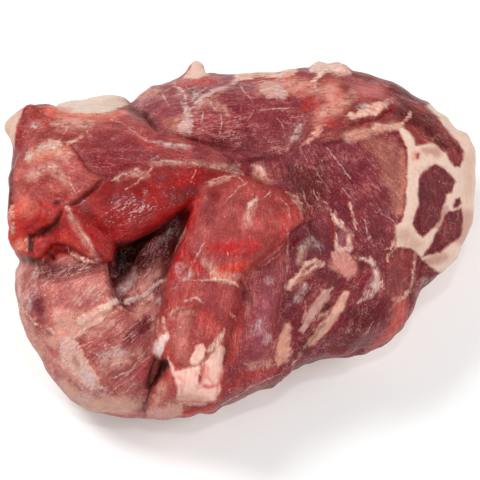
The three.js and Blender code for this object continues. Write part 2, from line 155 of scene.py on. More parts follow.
# Soft patches of colour. Each has a colour and a chain of discs, and fades out towards its edge.
TINTS = {
    "flap_left_top": ((160, 76, 68), [(38, 118, 20), (92, 124, 18)]),
    "flap_top_edge": ((208, 118, 100), [(52, 110, 8), (75, 117, 8), (100, 117, 6), (124, 113, 5)]),
    # Painted shade along the flap's left edge.
    "flap_left_edge_shade": ((146, 44, 46), [(25, 108, 6), (20, 130, 6), (17, 150, 6)]),
    "flap_low": ((146, 58, 62), [(88, 158, 12), (115, 168, 16), (140, 160, 8)]),
    "flap_mid_shade": ((148, 68, 72), [(100, 142, 13), (150, 150, 12)]),
    "flap_right": ((150, 76, 78), [(200, 156, 12), (228, 162, 10)]),
    "flap_glow": ((168, 72, 70), [(140, 140, 5), (149, 145, 5), (160, 150, 4)]),
    "plate_upper": ((204, 120, 94), [(36, 158, 9), (50, 151, 10), (64, 152, 8)]),
    "plate_mid": ((156, 62, 56), [(45, 176, 16), (30, 188, 12)]),
    "plate_right": ((190, 100, 92), [(74, 170, 13), (88, 182, 9)]),
    "plate_low": ((166, 64, 62), [(45, 195, 9), (70, 198, 7)]),
    # Painted shade along the plate's left edge.
    "plate_left_edge_shade": ((130, 30, 36), [(12, 165, 5), (10, 190, 6), (8, 208, 6)]),
    # Painted shade in the crevice under the plate.
    "plate_crevice_shade": ((104, 46, 48), [(57, 203, 4)]),
    "roll_bright": ((152, 0, 2), [(112, 208, 13), (135, 212, 17), (160, 203, 12)]),
    "roll_top": ((160, 62, 62), [(120, 182, 9), (150, 174, 8), (185, 174, 7)]),
    "roll_right": ((126, 6, 14), [(175, 196, 10), (192, 190, 7)]),
    "roll_left": ((178, 66, 64), [(90, 200, 10), (100, 212, 9)]),
    # Painted shade on the roll's underside.
    "roll_under_shade": ((84, 0, 6), [(118, 245, 4), (137, 243, 5), (162, 229, 5), (187, 214, 4)]),
    "ball": ((206, 114, 96), [(27, 208, 13)]),
    "ball_low": ((192, 62, 60), [(16, 228, 5), (28, 228, 6), (40, 218, 5)]),
    "red_lobe": ((190, 74, 70), [(50, 212, 8)]),
    "curl_red": ((176, 6, 16), [(42, 248, 8), (54, 243, 9)]),
    # Painted shade under the curl.
    "curl_under_shade": ((96, 10, 16), [(24, 259, 4), (36, 260, 4)]),
    "tip_shadow": ((104, 12, 18), [(62, 214, 3), (56, 226, 5), (44, 232, 6), (34, 236, 4)]),
    "step_shadow": ((146, 0, 2), [(92, 191, 5), (84, 198, 4)]),
    "notch_shadow": ((60, 4, 10), [(31, 238, 3), (31, 250, 3)]),
    # Painted highlight on the curl.
    "curl_highlight": ((242, 164, 136), [(19, 246, 7)]),
    "tail_triangle": ((206, 84, 72), [(64, 238, 6), (78, 246, 7), (90, 254, 5)]),
    "tail_pink": ((190, 84, 80), [(66, 212, 5), (76, 226, 6), (88, 242, 5)]),
    "tail_meat": ((156, 58, 58), [(108, 238, 8), (104, 252, 8)]),
    "tail_shadow": ((120, 52, 54), [(78, 262, 4), (96, 266, 4)]),
    "pocket_wall": ((118, 52, 58), [(180, 216, 7), (170, 236, 9), (158, 250, 9)]),
    # Painted shade in the pocket.
    "pocket_shade": ((60, 14, 18), [(118, 274, 3), (120, 258, 6), (128, 250, 6), (142, 241, 3)]),
    "pocket_right": ((130, 26, 34), [(176, 246, 4), (166, 264, 5), (160, 276, 4)]),
    "pocket_floor": ((186, 112, 102), [(158, 266, 7), (148, 278, 9), (134, 294, 8)]),
    "pocket_grey": ((176, 136, 132), [(118, 294, 6), (126, 286, 7), (134, 276, 6)]),
    "left_strip": ((184, 126, 112), [(19, 268, 5), (19, 300, 6), (24, 325, 6)]),
    "left_top": ((108, 20, 28), [(45, 272, 12), (64, 270, 8), (88, 268, 7)]),
    "left_purple": ((146, 74, 78), [(36, 300, 8), (40, 312, 6)]),
    "left_peach": ((236, 180, 160), [(60, 316, 9), (78, 318, 9), (60, 330, 9)]),
    "left_cream": ((238, 202, 182), [(74, 330, 7), (92, 318, 8), (106, 308, 6)]),
    "left_whitish": ((232, 186, 174), [(54, 345, 11), (70, 365, 13), (88, 384, 10)]),
    "left_dull": ((184, 100, 94), [(96, 362, 10), (45, 350, 8), (106, 342, 8)]),
    "left_right": ((170, 88, 84), [(122, 355, 14), (140, 340, 12), (134, 372, 10)]),
    "left_dark": ((126, 52, 58), [(128, 338, 8), (145, 324, 9), (156, 316, 5)]),
    "left_red": ((206, 102, 102), [(140, 376, 8), (152, 358, 6)]),
    "left_bottom_edge": ((224, 188, 160), [(62, 386, 6), (88, 404, 9), (120, 406, 11), (140, 404, 6)]),
    "left_low_purple": ((158, 92, 90), [(92, 388, 6), (112, 390, 7)]),
    "left_edge_low": ((196, 128, 114), [(34, 348, 6), (48, 372, 7)]),
    # Painted shade in the crevice.
    "crevice": ((70, 14, 18), [(165, 364, 5), (160, 374, 4), (150, 390, 2.5), (147, 404, 2)]),
    "crevice_lobe": ((204, 112, 98), [(166, 384, 8), (160, 398, 9)]),
    # Painted shade along the tongue's left edge.
    "tongue_left_edge_shade": ((178, 16, 22), [(199, 196, 5), (193, 213, 7), (187, 233, 8), (179, 256, 7),
        (171, 276, 5)]),
    "tongue_upper": ((170, 82, 78), [(240, 195, 20), (270, 205, 16)]),
    "tongue_upper_left": ((140, 14, 20), [(212, 198, 10), (208, 220, 9)]),
    "tongue_glow": ((198, 100, 96), [(244, 222, 9), (258, 226, 8)]),
    "tongue_right_tip": ((190, 78, 76), [(298, 212, 7), (288, 222, 7), (282, 236, 6)]),
    "tongue_blood": ((196, 6, 14), [(210, 246, 7), (226, 248, 10), (244, 248, 11), (256, 244, 8)]),
    "tongue_orange": ((234, 80, 60), [(218, 274, 9), (232, 270, 8), (248, 262, 4)]),
    "tongue_step": ((255, 140, 112), [(214, 279, 3), (226, 279, 4), (236, 284, 3)]),
    "tongue_red_top": ((180, 40, 34), [(190, 256, 6), (200, 268, 7)]),
    "tongue_mid": ((186, 92, 90), [(205, 296, 13), (222, 300, 12), (226, 318, 6)]),
    "tongue_oval": ((196, 122, 112), [(184, 322, 10), (180, 340, 11), (184, 356, 9)]),
    "tongue_red": ((202, 88, 82), [(206, 318, 11), (214, 330, 9)]),
    "tongue_left_low": ((150, 16, 22), [(166, 302, 4), (163, 318, 4)]),
    "bottom_left_edge": ((198, 90, 84), [(236, 330, 8), (240, 308, 8), (232, 358, 7)]),
    "bottom_purple": ((168, 92, 102), [(266, 290, 7), (262, 322, 10), (258, 346, 10)]),
    "bottom_low": ((174, 76, 76), [(272, 370, 5), (246, 376, 7), (228, 386, 6)]),
    "bottom_under": ((152, 112, 104), [(222, 408, 8), (250, 394, 8), (285, 380, 6), (305, 366, 3)]),
    "bottom_strip": ((190, 62, 48), [(186, 412, 4), (208, 412, 4)]),
    "face_dark": ((106, 28, 42), [(298, 175, 18), (312, 200, 18), (320, 165, 12)]),
    "face_deep": ((124, 52, 62), [(340, 200, 18), (350, 180, 14)]),
    "face_brown": ((168, 112, 98), [(372, 142, 10), (386, 150, 14), (392, 168, 14), (397, 190, 11),
        (399, 208, 8)]),
    "face_right_edge": ((190, 128, 108), [(402, 150, 4), (403, 186, 4), (401, 212, 4)]),
    "face_low": ((128, 54, 62), [(378, 234, 9), (364, 244, 8)]),
    "face_left": ((132, 56, 54), [(262, 178, 8), (280, 172, 7)]),
    # Painted shade under the tongue's tip.
    "under_tip": ((122, 46, 56), [(296, 240, 7), (302, 256, 7)]),
    "centre_pale": ((180, 126, 116), [(258, 168, 7), (264, 174, 6)]),
    "patch_violet": ((162, 106, 116), [(342, 234, 5), (341, 244, 4)]),
    "lower_pink": ((190, 116, 106), [(340, 264, 9), (350, 270, 9)]),
    "lower_orange": ((150, 50, 36), [(332, 216, 3), (334, 240, 4)]),
    "lobe_d": ((138, 46, 58), [(366, 272, 7), (362, 286, 8)]),
    "lower_left": ((104, 28, 38), [(292, 298, 6), (306, 292, 6)]),
    "lower_gap": ((84, 16, 24), [(326, 306, 5), (320, 318, 4)]),
    "lower_dark": ((108, 42, 52), [(352, 312, 12), (372, 316, 12), (348, 338, 10)]),
    "lower_tangle": ((112, 62, 60), [(312, 336, 7), (304, 350, 6)]),
    "lower_triangle": ((124, 50, 58), [(428, 270, 8), (422, 282, 6)]),
    "lower_edge": ((196, 96, 86), [(401, 302, 8), (399, 318, 9), (391, 334, 7), (368, 350, 4)]),
    "lower_bottom": ((140, 16, 20), [(330, 354, 6), (350, 352, 5)]),
    "top_light_red": ((180, 82, 80), [(182, 82, 7), (202, 80, 8), (218, 78, 6)]),
    "top_tan": ((174, 104, 84), [(166, 122, 6), (180, 126, 8)]),
    "top_deep": ((126, 56, 64), [(215, 132, 13), (245, 138, 14), (232, 104, 8)]),
    "top_violet": ((154, 72, 78), [(160, 108, 11), (172, 96, 7)]),
    # Painted shade along the seam at the flap's top.
    "top_seam_shade": ((104, 30, 34), [(132, 108, 4), (146, 116, 5), (154, 126, 4)]),
    "top_net": ((90, 20, 28), [(194, 94, 6)]),
    "top_far": ((140, 62, 68), [(285, 122, 12), (272, 140, 9)]),
    "top_salmon": ((198, 106, 92), [(262, 76, 6), (290, 84, 12), (305, 88, 12)]),
    "top_red": ((184, 74, 68), [(306, 108, 6), (312, 98, 5), (322, 118, 7), (334, 124, 6)]),
    "right_salmon": ((210, 130, 114), [(330, 88, 12), (338, 104, 11), (326, 112, 9), (316, 126, 7)]),
    "right_pink": ((188, 110, 108), [(362, 90, 10), (380, 92, 7)]),
    "right_muscle": ((98, 20, 26), [(400, 112, 8), (424, 122, 12), (444, 144, 10), (398, 98, 6)]),
    "right_muscle_edge": ((112, 24, 22), [(392, 88, 5), (430, 108, 4), (452, 132, 5), (460, 152, 4)]),
    "gash_red": ((150, 40, 40), [(360, 122, 4), (374, 118, 4), (392, 110, 4)]),
    "right_pale": ((206, 152, 134), [(348, 137, 7), (366, 134, 6)]),
}

# Painted shade: hollows painted darker than the rest of the covered meat.
HOLLOW_SHADES = {
    "crevice": ((34, 4, 8), [(165, 364, 4.5), (160, 375, 2.5)]),
    "pocket": ((52, 8, 12), [(120, 252, 4), (124, 262, 4), (119, 274, 2)]),
}

# Fat with a clear outline. It stands slightly proud, and its edge is ragged unless SMOOTH_FAT has it.
FAT_AREAS = {
    "right_ground": [(397, 129), (404, 126), (405, 131), (410, 134), (414, 139), (416, 145), (429, 143),
        (436, 145), (440, 149), (446, 153), (449, 160), (454, 167), (460, 168), (463, 162), (464, 153),
        (460, 144), (453, 136), (445, 127), (435, 114), (426, 106), (440, 100), (484, 130), (484, 245),
        (450, 280), (424, 262), (417, 253), (411, 248), (396, 247), (397, 235), (395, 226), (401, 222),
        (404, 214), (407, 202), (406, 186), (407, 171), (408, 158), (407, 147), (402, 137)],
    "corner": [(3, 127), (13, 111), (24, 107), (20, 116), (17, 125), (14, 147), (9, 142)],
    "top_fringe": [(50, 104), (78, 95), (104, 91), (124, 90), (129, 104), (112, 111), (100, 113), (88, 114),
        (72, 113), (60, 110)],
    "plate_cream": [(25, 160), (26, 154), (36, 146), (50, 140), (64, 142), (60, 147), (48, 149), (37, 155),
        (28, 165)],
    "spike": [(183, 77), (190, 68), (191, 55), (202, 55), (204, 68), (209, 75), (198, 79), (190, 80)],
    "seam_stem": [(184, 116), (192, 115), (193, 126), (190, 134), (181, 134), (178, 127)],
    "top_edge": [(232, 80), (240, 68), (296, 64), (298, 73), (284, 77), (264, 77), (248, 80)],
    "top_patch": [(260, 84), (264, 81), (278, 83), (288, 90), (289, 101), (281, 99), (268, 97), (260, 91)],
    "knob": [(309, 60), (345, 54), (351, 74), (338, 75), (328, 73), (318, 75), (309, 72)],
    "right_patch": [(346, 116), (350, 111), (358, 110), (370, 105), (384, 99), (393, 101), (387, 108),
        (377, 113), (365, 118), (351, 120)],
    "crescent": [(354, 137), (367, 129), (377, 124), (389, 125), (401, 122), (411, 113), (408, 121),
        (400, 128), (388, 130), (376, 129), (364, 133)],
    "wedge": [(318, 127), (327, 121), (322, 133), (311, 143), (301, 146), (309, 136)],
    "lower_streak": [(286, 290), (289, 279), (300, 270), (306, 261), (316, 258), (325, 262), (321, 267),
        (314, 267), (311, 272), (303, 275), (296, 280), (291, 290)],
    "lower_patch": [(334, 208), (337, 217), (343, 222), (351, 231), (353, 242), (352, 254), (346, 252),
        (340, 254), (335, 247), (336, 232)],
    "strip_a": [(323, 289), (333, 287), (326, 300), (320, 309), (312, 321), (303, 334), (298, 331),
        (307, 315), (314, 303)],
    "strip_b": [(343, 290), (349, 291), (344, 307), (337, 321), (326, 333), (310, 347), (306, 344),
        (320, 328), (332, 311)],
    "pink_knot": [(331, 252), (340, 249), (349, 255), (357, 262), (355, 272), (347, 281), (341, 272),
        (334, 264)],
    "lower_peach": [(285, 324), (292, 327), (291, 338), (288, 354), (282, 364), (276, 365), (275, 357),
        (278, 338)],
    "left_cream": [(72, 322), (84, 314), (97, 308), (110, 300), (124, 298), (119, 304), (104, 312),
        (92, 320), (80, 325)],
    "left_white": [(57, 334), (69, 336), (79, 344), (86, 355), (91, 367), (98, 377), (103, 389), (92, 391),
        (80, 383), (69, 373), (61, 358)],
    "bump": [(153, 352), (155, 342), (161, 335), (169, 332), (170, 339), (165, 346), (163, 353), (160, 360),
        (156, 358)],
    "foot_main": [(167, 356), (176, 370), (190, 367), (202, 364), (209, 358), (215, 350), (220, 344),
        (225, 348), (223, 362), (222, 378), (220, 392), (214, 400), (200, 402), (177, 400), (177, 390),
        (175, 378), (170, 366)],
    "foot_upper": [(195, 347), (202, 344), (206, 349), (203, 357), (197, 365), (191, 364), (192, 355)],
    "foot_right": [(206, 352), (208, 345), (214, 341), (216, 346), (211, 352)],
    "bottom_fringe": [(146, 416), (150, 407), (162, 404), (172, 404), (182, 402), (182, 414), (166, 424),
        (148, 424)],
}
# Fat with a smoother edge and a more even face than the rest, and how much so, from 0 to 1.
SMOOTH_FAT = {
    "right_ground": 1.0, "corner": 1.0, "top_fringe": 0.9, "spike": 1.0, "foot_main": 0.85, "bump": 0.8,
    "strip_a": 0.8, "strip_b": 0.8, "lower_streak": 0.6, "lower_peach": 0.6, "pink_knot": 0.7,
    "left_white": 0.3, "foot_upper": 0.7, "bottom_fringe": 0.5,
}
# Muscle and stains that show as islands in the fat.
ISLANDS = {
    "island_1": [(423, 172), (429, 166), (436, 164), (444, 168), (450, 173), (456, 183), (452, 191),
        (447, 194), (445, 204), (440, 218), (434, 228), (427, 233), (422, 237), (418, 233), (412, 224),
        (415, 215), (418, 202), (419, 187), (419, 178)],
    "island_2": [(449, 212), (454, 210), (462, 209), (463, 220), (462, 235), (455, 241), (447, 246),
        (440, 253), (429, 255), (422, 257), (429, 247), (434, 237), (439, 227), (444, 217)],
    "islet": [(452, 205), (454, 199), (460, 197), (462, 204), (458, 207), (453, 208)],
    "foot_line": [(201, 362), (204, 366), (200, 376), (202, 384), (199, 385), (198, 376)],
    "branch_fleck": [(416, 155), (419, 153), (419, 159), (417, 159)],
    "patch_middle": [(338, 229), (344, 230), (348, 238), (345, 247), (339, 246), (337, 238)],
    "streak_middle": [(304, 268), (312, 263), (316, 264), (308, 270), (300, 275)],
    "patch_silver": [(353, 111), (360, 106), (368, 105), (366, 108), (356, 113)],
}
# Thin strips of fat, as chains of discs.
FAT = {
    "flap_join": [(67, 144, 1.2), (74, 140, 1.3), (83, 135, 0.8)],
    "left_strip": [(11, 208, 2), (12, 220, 2.4), (13, 232, 2)],
    # A painted highlight on the curl, drawn as a white strip.
    "curl_highlight_streak": [(26, 241, 1), (27, 250, 1)],
    "tail_line": [(67, 208, 1.6), (74, 222, 1.6), (83, 235, 1), (92, 248, 0.8), (98, 257, 0.8)],
    "tail_lower_line": [(66, 247, 0.8), (76, 256, 1.2), (86, 260, 1.2), (99, 260, 1.6)],
    "top_rim_left": [(127, 101, 1.5), (140, 94, 1.5), (150, 88, 1)],
    "seam_right_arm": [(187, 117, 2), (194, 107, 1.8), (205, 97, 2), (215, 91, 1.8), (228, 85, 1.6),
        (241, 77, 1.6)],
    "seam_left_arm": [(186, 112, 1.2), (186, 100, 1.1), (182, 91, 1.2), (175, 84, 0.8)],
    "knob_streak": [(313, 80, 1.5), (320, 75, 2.5), (327, 70, 1.5)],
    "face_edge": [(397, 226, 1.6), (396, 236, 1.4), (391, 247, 1.2), (385, 250, 1)],
    "oval_top": [(396, 247, 1.2), (389, 254, 1), (387, 262, 0.8)],
    "oval_line": [(415, 254, 1), (414, 272, 1.2), (410, 288, 1.1), (401, 300, 1.8), (392, 300, 1.8)],
    "line_c": [(349, 204, 0.7), (353, 214, 1), (355, 223, 1.2), (353.5, 236, 0.7)],
    "lobe_d": [(361, 258, 1.6), (372, 261, 2.2), (376, 270, 2), (378, 282, 2), (376, 290, 2),
        (368, 297, 1.4), (358, 303, 0.9)],
    "line_e": [(384, 288, 1), (381, 281, 0.7)],
    "drips": [(304, 283, 1), (307, 292, 0.7), (306, 300, 0.6)],
    "strip_side": [(305, 300, 0.6), (306, 312, 1), (302, 320, 1.2)],
    "lower_strand": [(328, 316, 0.8), (314, 334, 1), (302, 352, 1.1), (290, 370, 0.8)],
    "centre_patch": [(254, 166, 2), (261, 171, 3.4), (265, 177, 2)],
    "left_second": [(66, 342, 1.4), (80, 333, 2.4), (90, 327, 2), (102, 319, 1.8), (114, 312, 1.4),
        (122, 308, 1)],
    "floor_band": [(163, 280, 1.5), (152, 288, 2), (142, 296, 2.4), (128, 302, 2.4)],
    "left_curve": [(23, 309, 0.8), (31, 321, 1.3), (39, 326, 1.6), (47, 327, 1.8), (54, 334, 1.4)],
    "left_edge_fat": [(30, 334, 1), (40, 342, 1.4), (50, 352, 1.2)],
    "low_blue": [(72, 399, 1.2), (79, 395, 1.2), (84, 389, 1)],
    "oval_left": [(163, 318, 1.4), (165, 328, 1.2), (168, 338, 1)],
    "oval_head": [(170, 314, 0.8), (178, 309, 1), (184, 309, 0.8)],
    "foot_salmon": [(216, 346, 2), (221, 336, 2.4), (225, 330, 1.4)],
    "foot_fringe": [(190, 403, 1.6), (206, 405, 1.4)],
    "red_bits": [(228, 312, 1), (236, 320, 1)],
    "head_patch": [(248, 208, 1), (251, 203, 1.8), (257, 198, 1.1)],
    "head_cream": [(212, 280, 0.8), (224, 279, 1.6), (235, 284, 1.2)],
    "fold_line": [(276, 366, 1), (285, 360, 1.2), (292, 352, 1)],
    "tip_line": [(286, 192, 1), (296, 197, 1.2), (303, 204, 0.8)],
}

# Colours of fat. What isn't named here is CREAM.
CREAM = (230, 200, 182)
PINK = (222, 166, 150)
WHITE = (240, 206, 188)
TAN = (196, 146, 130)
SILVER = (198, 168, 164)
BROWN = (176, 128, 120)
FAT_TONES = {
    "corner": (214, 180, 160), "top_fringe": (222, 202, 186), "plate_cream": (190, 158, 142),
    "spike": (226, 190, 174), "seam_stem": SILVER, "top_edge": (226, 186, 164),
    "top_patch": (200, 160, 148), "knob": (228, 190, 174), "right_patch": (228, 184, 166),
    "crescent": (206, 162, 144), "wedge": (214, 156, 136), "lower_streak": (230, 182, 164),
    "lower_patch": (226, 182, 168), "strip_a": (206, 160, 150), "strip_b": (214, 166, 146),
    "lower_peach": (222, 158, 138), "pink_knot": (208, 138, 128), "left_cream": (234, 196, 176),
    "left_white": (226, 182, 170), "bump": (246, 220, 212), "foot_main": (250, 202, 188),
    "foot_upper": (242, 196, 182), "foot_right": WHITE, "bottom_fringe": (208, 150, 136), "flap_join": TAN,
    "left_strip": (206, 136, 118), "curl_highlight_streak": WHITE, "tail_line": (220, 160, 148),
    "tail_lower_line": PINK, "top_rim_left": TAN, "seam_right_arm": SILVER, "seam_left_arm": SILVER,
    "knob_streak": CREAM, "face_edge": TAN, "oval_top": TAN, "oval_line": TAN, "line_c": PINK,
    "lobe_d": (216, 186, 178), "line_e": TAN, "drips": SILVER, "strip_side": TAN, "lower_strand": BROWN,
    "centre_patch": (214, 170, 154), "left_second": (226, 180, 162), "floor_band": (214, 186, 182),
    "left_curve": (208, 170, 158), "left_edge_fat": TAN, "low_blue": SILVER, "oval_left": PINK,
    "oval_head": TAN, "foot_salmon": PINK, "foot_fringe": PINK, "red_bits": PINK, "fold_line": TAN,
    "tip_line": PINK,
}
# Soft patches of colour in the fat.
FAT_TINTS = {
    "rim": ((220, 186, 168), [(470, 160, 9), (470, 190, 9)]),
    "rim_low": ((196, 156, 140), [(468, 215, 8), (462, 240, 8)]),
    "branch": ((192, 142, 128), [(436, 152, 7), (424, 150, 5)]),
    "branch_pink": ((226, 140, 124), [(416, 156, 6)]),
    "wide": ((208, 170, 152), [(404, 236, 9), (416, 244, 8)]),
    "under_island": ((192, 146, 130), [(428, 262, 6), (444, 257, 6)]),
    "thin_line": ((186, 138, 126), [(446, 209, 4), (438, 226, 4)]),
    "foot_red": ((230, 92, 92), [(203, 386, 2.4), (211, 387, 3), (219, 385, 2.4)]),
    "foot_stain": ((234, 120, 114), [(221, 374, 3), (221, 382, 4)]),
    "foot_split": ((224, 104, 92), [(204, 364, 2.5), (200, 380, 2.5)]),
    "foot_blush": ((238, 150, 140), [(208, 368, 2.4), (206, 376, 2.4), (212, 382, 2)]),
    "foot_blush_left": ((240, 168, 156), [(178, 376, 2.4), (184, 382, 2.4), (181, 392, 2.4)]),
    "foot_white": ((250, 206, 186), [(216, 354, 6), (212, 372, 6)]),
    "foot_low": ((218, 160, 146), [(182, 398, 6), (204, 400, 6)]),
    "top_orange": ((220, 150, 122), [(246, 77, 3)]),
    # Painted highlight on the white fat.
    "white_fat_highlight": ((216, 196, 194), [(84, 374, 4), (90, 380, 5)]),
    "white_tan": ((182, 134, 118), [(74, 358, 4), (78, 366, 4)]),
    "cap_edge": ((206, 160, 138), [(46, 108, 4), (70, 110, 4)]),
}

# Thin pale lines: seams of silver skin and marbling between the muscles, and a painted glint on the plate.
LINES = {
    "flap_short": [(112, 120, 0.6), (124, 124, 0.5)],
    "flap_upper": [(130, 129, 0.4), (142, 137, 0.8), (152, 142, 0.9), (166, 144, 1), (178, 144, 0.8),
        (192, 146, 0.5)],
    "flap_streak": [(150, 160, 0.7), (158, 156, 0.6)],
    "flap_main": [(147, 164, 0.5), (160, 160, 0.9), (185, 162, 1), (207, 166, 0.8), (228, 171, 0.9),
        (243, 174, 0.9)],
    "flap_lower": [(112, 180, 0.7), (122, 174, 1.2), (136, 169, 1)],
    "roll_line": [(127, 189, 0.6), (140, 180, 1.2), (150, 170, 1.1), (153, 165, 0.6)],
    "roll_line_b": [(196, 172, 0.5), (192, 181, 0.5)],
    "flap_fan": [(69, 123, 0.3), (66, 131, 0.4), (60, 138, 0.3)],
    "flap_fan_b": [(88, 132, 0.4), (93, 138, 0.3)],
    "plate_curve": [(68, 173, 0.6), (70, 182, 0.7), (75, 190, 0.5)],
    "plate_streak": [(47, 166, 0.9), (57, 166, 0.7)],
    "plate_low": [(49, 200, 0.5), (62, 199, 0.6), (66, 202, 0.5)],
    # A painted highlight: a glint on the plate, drawn as a pale line.
    "plate_glint": [(78, 192, 0.7), (81, 189, 0.5)],
    "tongue_top": [(207, 183, 0.5), (215, 179, 0.8), (225, 176, 0.7), (238, 176, 0.7), (243, 181, 0.5)],
    "tongue_across": [(224, 203, 0.4), (236, 191, 0.5), (245, 184, 0.4)],
    "tongue_vein_a": [(254, 200, 0.6), (250, 208, 0.8), (248, 219, 0.5)],
    "tongue_vein_b": [(270, 192, 0.6), (266, 197, 0.7), (259, 200, 0.5)],
    "tongue_vein_c": [(282, 199, 0.4), (288, 206, 0.6), (290, 216, 0.5)],
    "tongue_vein_d": [(293, 200, 0.4), (299, 208, 0.5), (302, 217, 0.4)],
    "tongue_side": [(204, 244, 0.5), (197, 256, 0.7), (191, 268, 0.9), (189, 278, 1.1)],
    "tongue_step": [(189, 280, 0.9), (200, 281, 0.8), (212, 280, 0.9), (226, 282, 1), (236, 286, 0.8)],
    "tongue_step_b": [(212, 280, 0.5), (210, 274, 0.5), (216, 270, 0.4)],
    "tongue_cream": [(186, 300, 1.2), (196, 297, 1.3), (202, 302, 0.8)],
    "tongue_fold": [(262, 265, 0.7), (272, 259, 0.7)],
    "pocket_orange": [(185, 229, 0.8), (182, 238, 0.9), (178, 246, 0.5)],
    "pocket_a": [(173, 222, 0.6), (166, 235, 0.7)],
    "pocket_b": [(168, 232, 0.5), (158, 248, 0.6)],
    "pocket_c": [(160, 238, 0.4), (150, 256, 0.5)],
    "pocket_d": [(152, 262, 0.6), (146, 276, 0.6)],
    "top_hook": [(162, 92, 0.6), (164, 98, 0.8), (168, 103, 0.5)],
    "net_a": [(182, 91, 0.5), (190, 97, 0.6), (198, 98, 0.4)],
    "net_b": [(188, 88, 0.4), (193, 93, 0.5), (201, 94, 0.4)],
    "net_c": [(192, 100, 0.4), (200, 92, 0.4), (206, 88, 0.4)],
    "arm_branch": [(204, 97, 0.6), (211, 102, 0.8), (214, 108, 0.6)],
    "arm_branch_b": [(198, 103, 0.5), (204, 112, 0.6), (202, 118, 0.4)],
    "top_thread_b": [(222, 116, 0.5), (221, 125, 0.6), (219, 136, 0.5)],
    "top_thread_c": [(241, 86, 0.6), (247, 95, 0.7), (252, 101, 0.5)],
    "top_thread_d": [(253, 112, 0.6), (249, 119, 0.5)],
    "top_thread_e": [(262, 110, 0.5), (280, 109, 0.6), (298, 109, 0.5)],
    "top_vein": [(278, 121, 0.7), (283, 128, 0.8), (285, 138, 0.6), (287, 148, 0.7)],
    "top_silver": [(304, 121, 1), (298, 129, 1.4), (292, 138, 1.5), (287, 145, 1.1)],
    "face_a": [(327, 148, 0.5), (334, 157, 0.7), (343, 168, 0.7), (350, 178, 0.5)],
    "face_b": [(315, 168, 0.3), (320, 178, 0.5), (329, 189, 0.5)],
    "face_c": [(318, 182, 0.5), (324, 185, 0.5), (330, 191, 0.3)],
    "face_d": [(303, 190, 0.4), (306, 200, 0.7), (312, 208, 0.5)],
    "face_e": [(314, 192, 0.3), (318, 199, 0.4), (326, 203, 0.6), (331, 210, 0.6), (334, 216, 0.5)],
    "face_g": [(343, 189, 0.5), (348, 196, 0.5)],
    "face_h": [(378, 206, 0.5), (381, 213, 0.8), (391, 219, 0.8), (397, 224, 0.6)],
    "face_i": [(371, 205, 0.3), (376, 212, 0.3)],
    "face_k": [(365, 222, 0.5), (367, 230, 0.6), (368, 238, 0.4)],
    "face_l": [(370, 234, 0.4), (373, 246, 0.4)],
    "face_border": [(331, 212, 0.6), (335, 224, 0.6), (335, 240, 0.5)],
    "lower_white": [(288, 232, 0.5), (287.5, 246, 0.8), (287, 262, 0.9), (286, 280, 0.6), (284, 292, 0.5)],
    "scratch_a": [(346, 327, 0.4), (352, 334, 0.4)],
    "scratch_b": [(372, 322, 0.4), (366, 334, 0.4)],
    "left_line_a": [(92, 353, 0.6), (102, 358, 0.7), (112, 357, 0.7), (118, 351, 0.5)],
    "left_line_b": [(104, 350, 0.4), (116, 346, 0.6), (127, 342, 0.4)],
    "left_line_c": [(106, 368, 0.5), (122, 362, 0.7), (134, 354, 0.5)],
    "left_line_d": [(112, 378, 0.5), (124, 374, 0.8), (136, 367, 0.8), (148, 358, 0.5)],
    "left_line_e": [(120, 384, 0.4), (132, 379, 0.5)],
    "left_line_f": [(126, 330, 0.4), (138, 322, 0.5), (142, 318, 0.4)],
    "left_streak": [(36, 261, 1), (37, 270, 1), (37, 281, 0.8)],
    "left_streak_b": [(42, 261, 0.6), (42, 268, 0.6)],
    "fibre_a": [(80, 304, 0.5), (92, 290, 0.6), (98, 284, 0.4)],
    "fibre_b": [(72, 308, 0.4), (84, 294, 0.5)],
    "fibre_c": [(92, 304, 0.4), (104, 290, 0.5)],
    "bottom_curve": [(246, 363, 0.5), (256, 366, 0.6), (268, 364, 0.5)],
    "underside": [(222, 404, 0.5), (250, 388, 0.6), (280, 374, 0.5)],
}
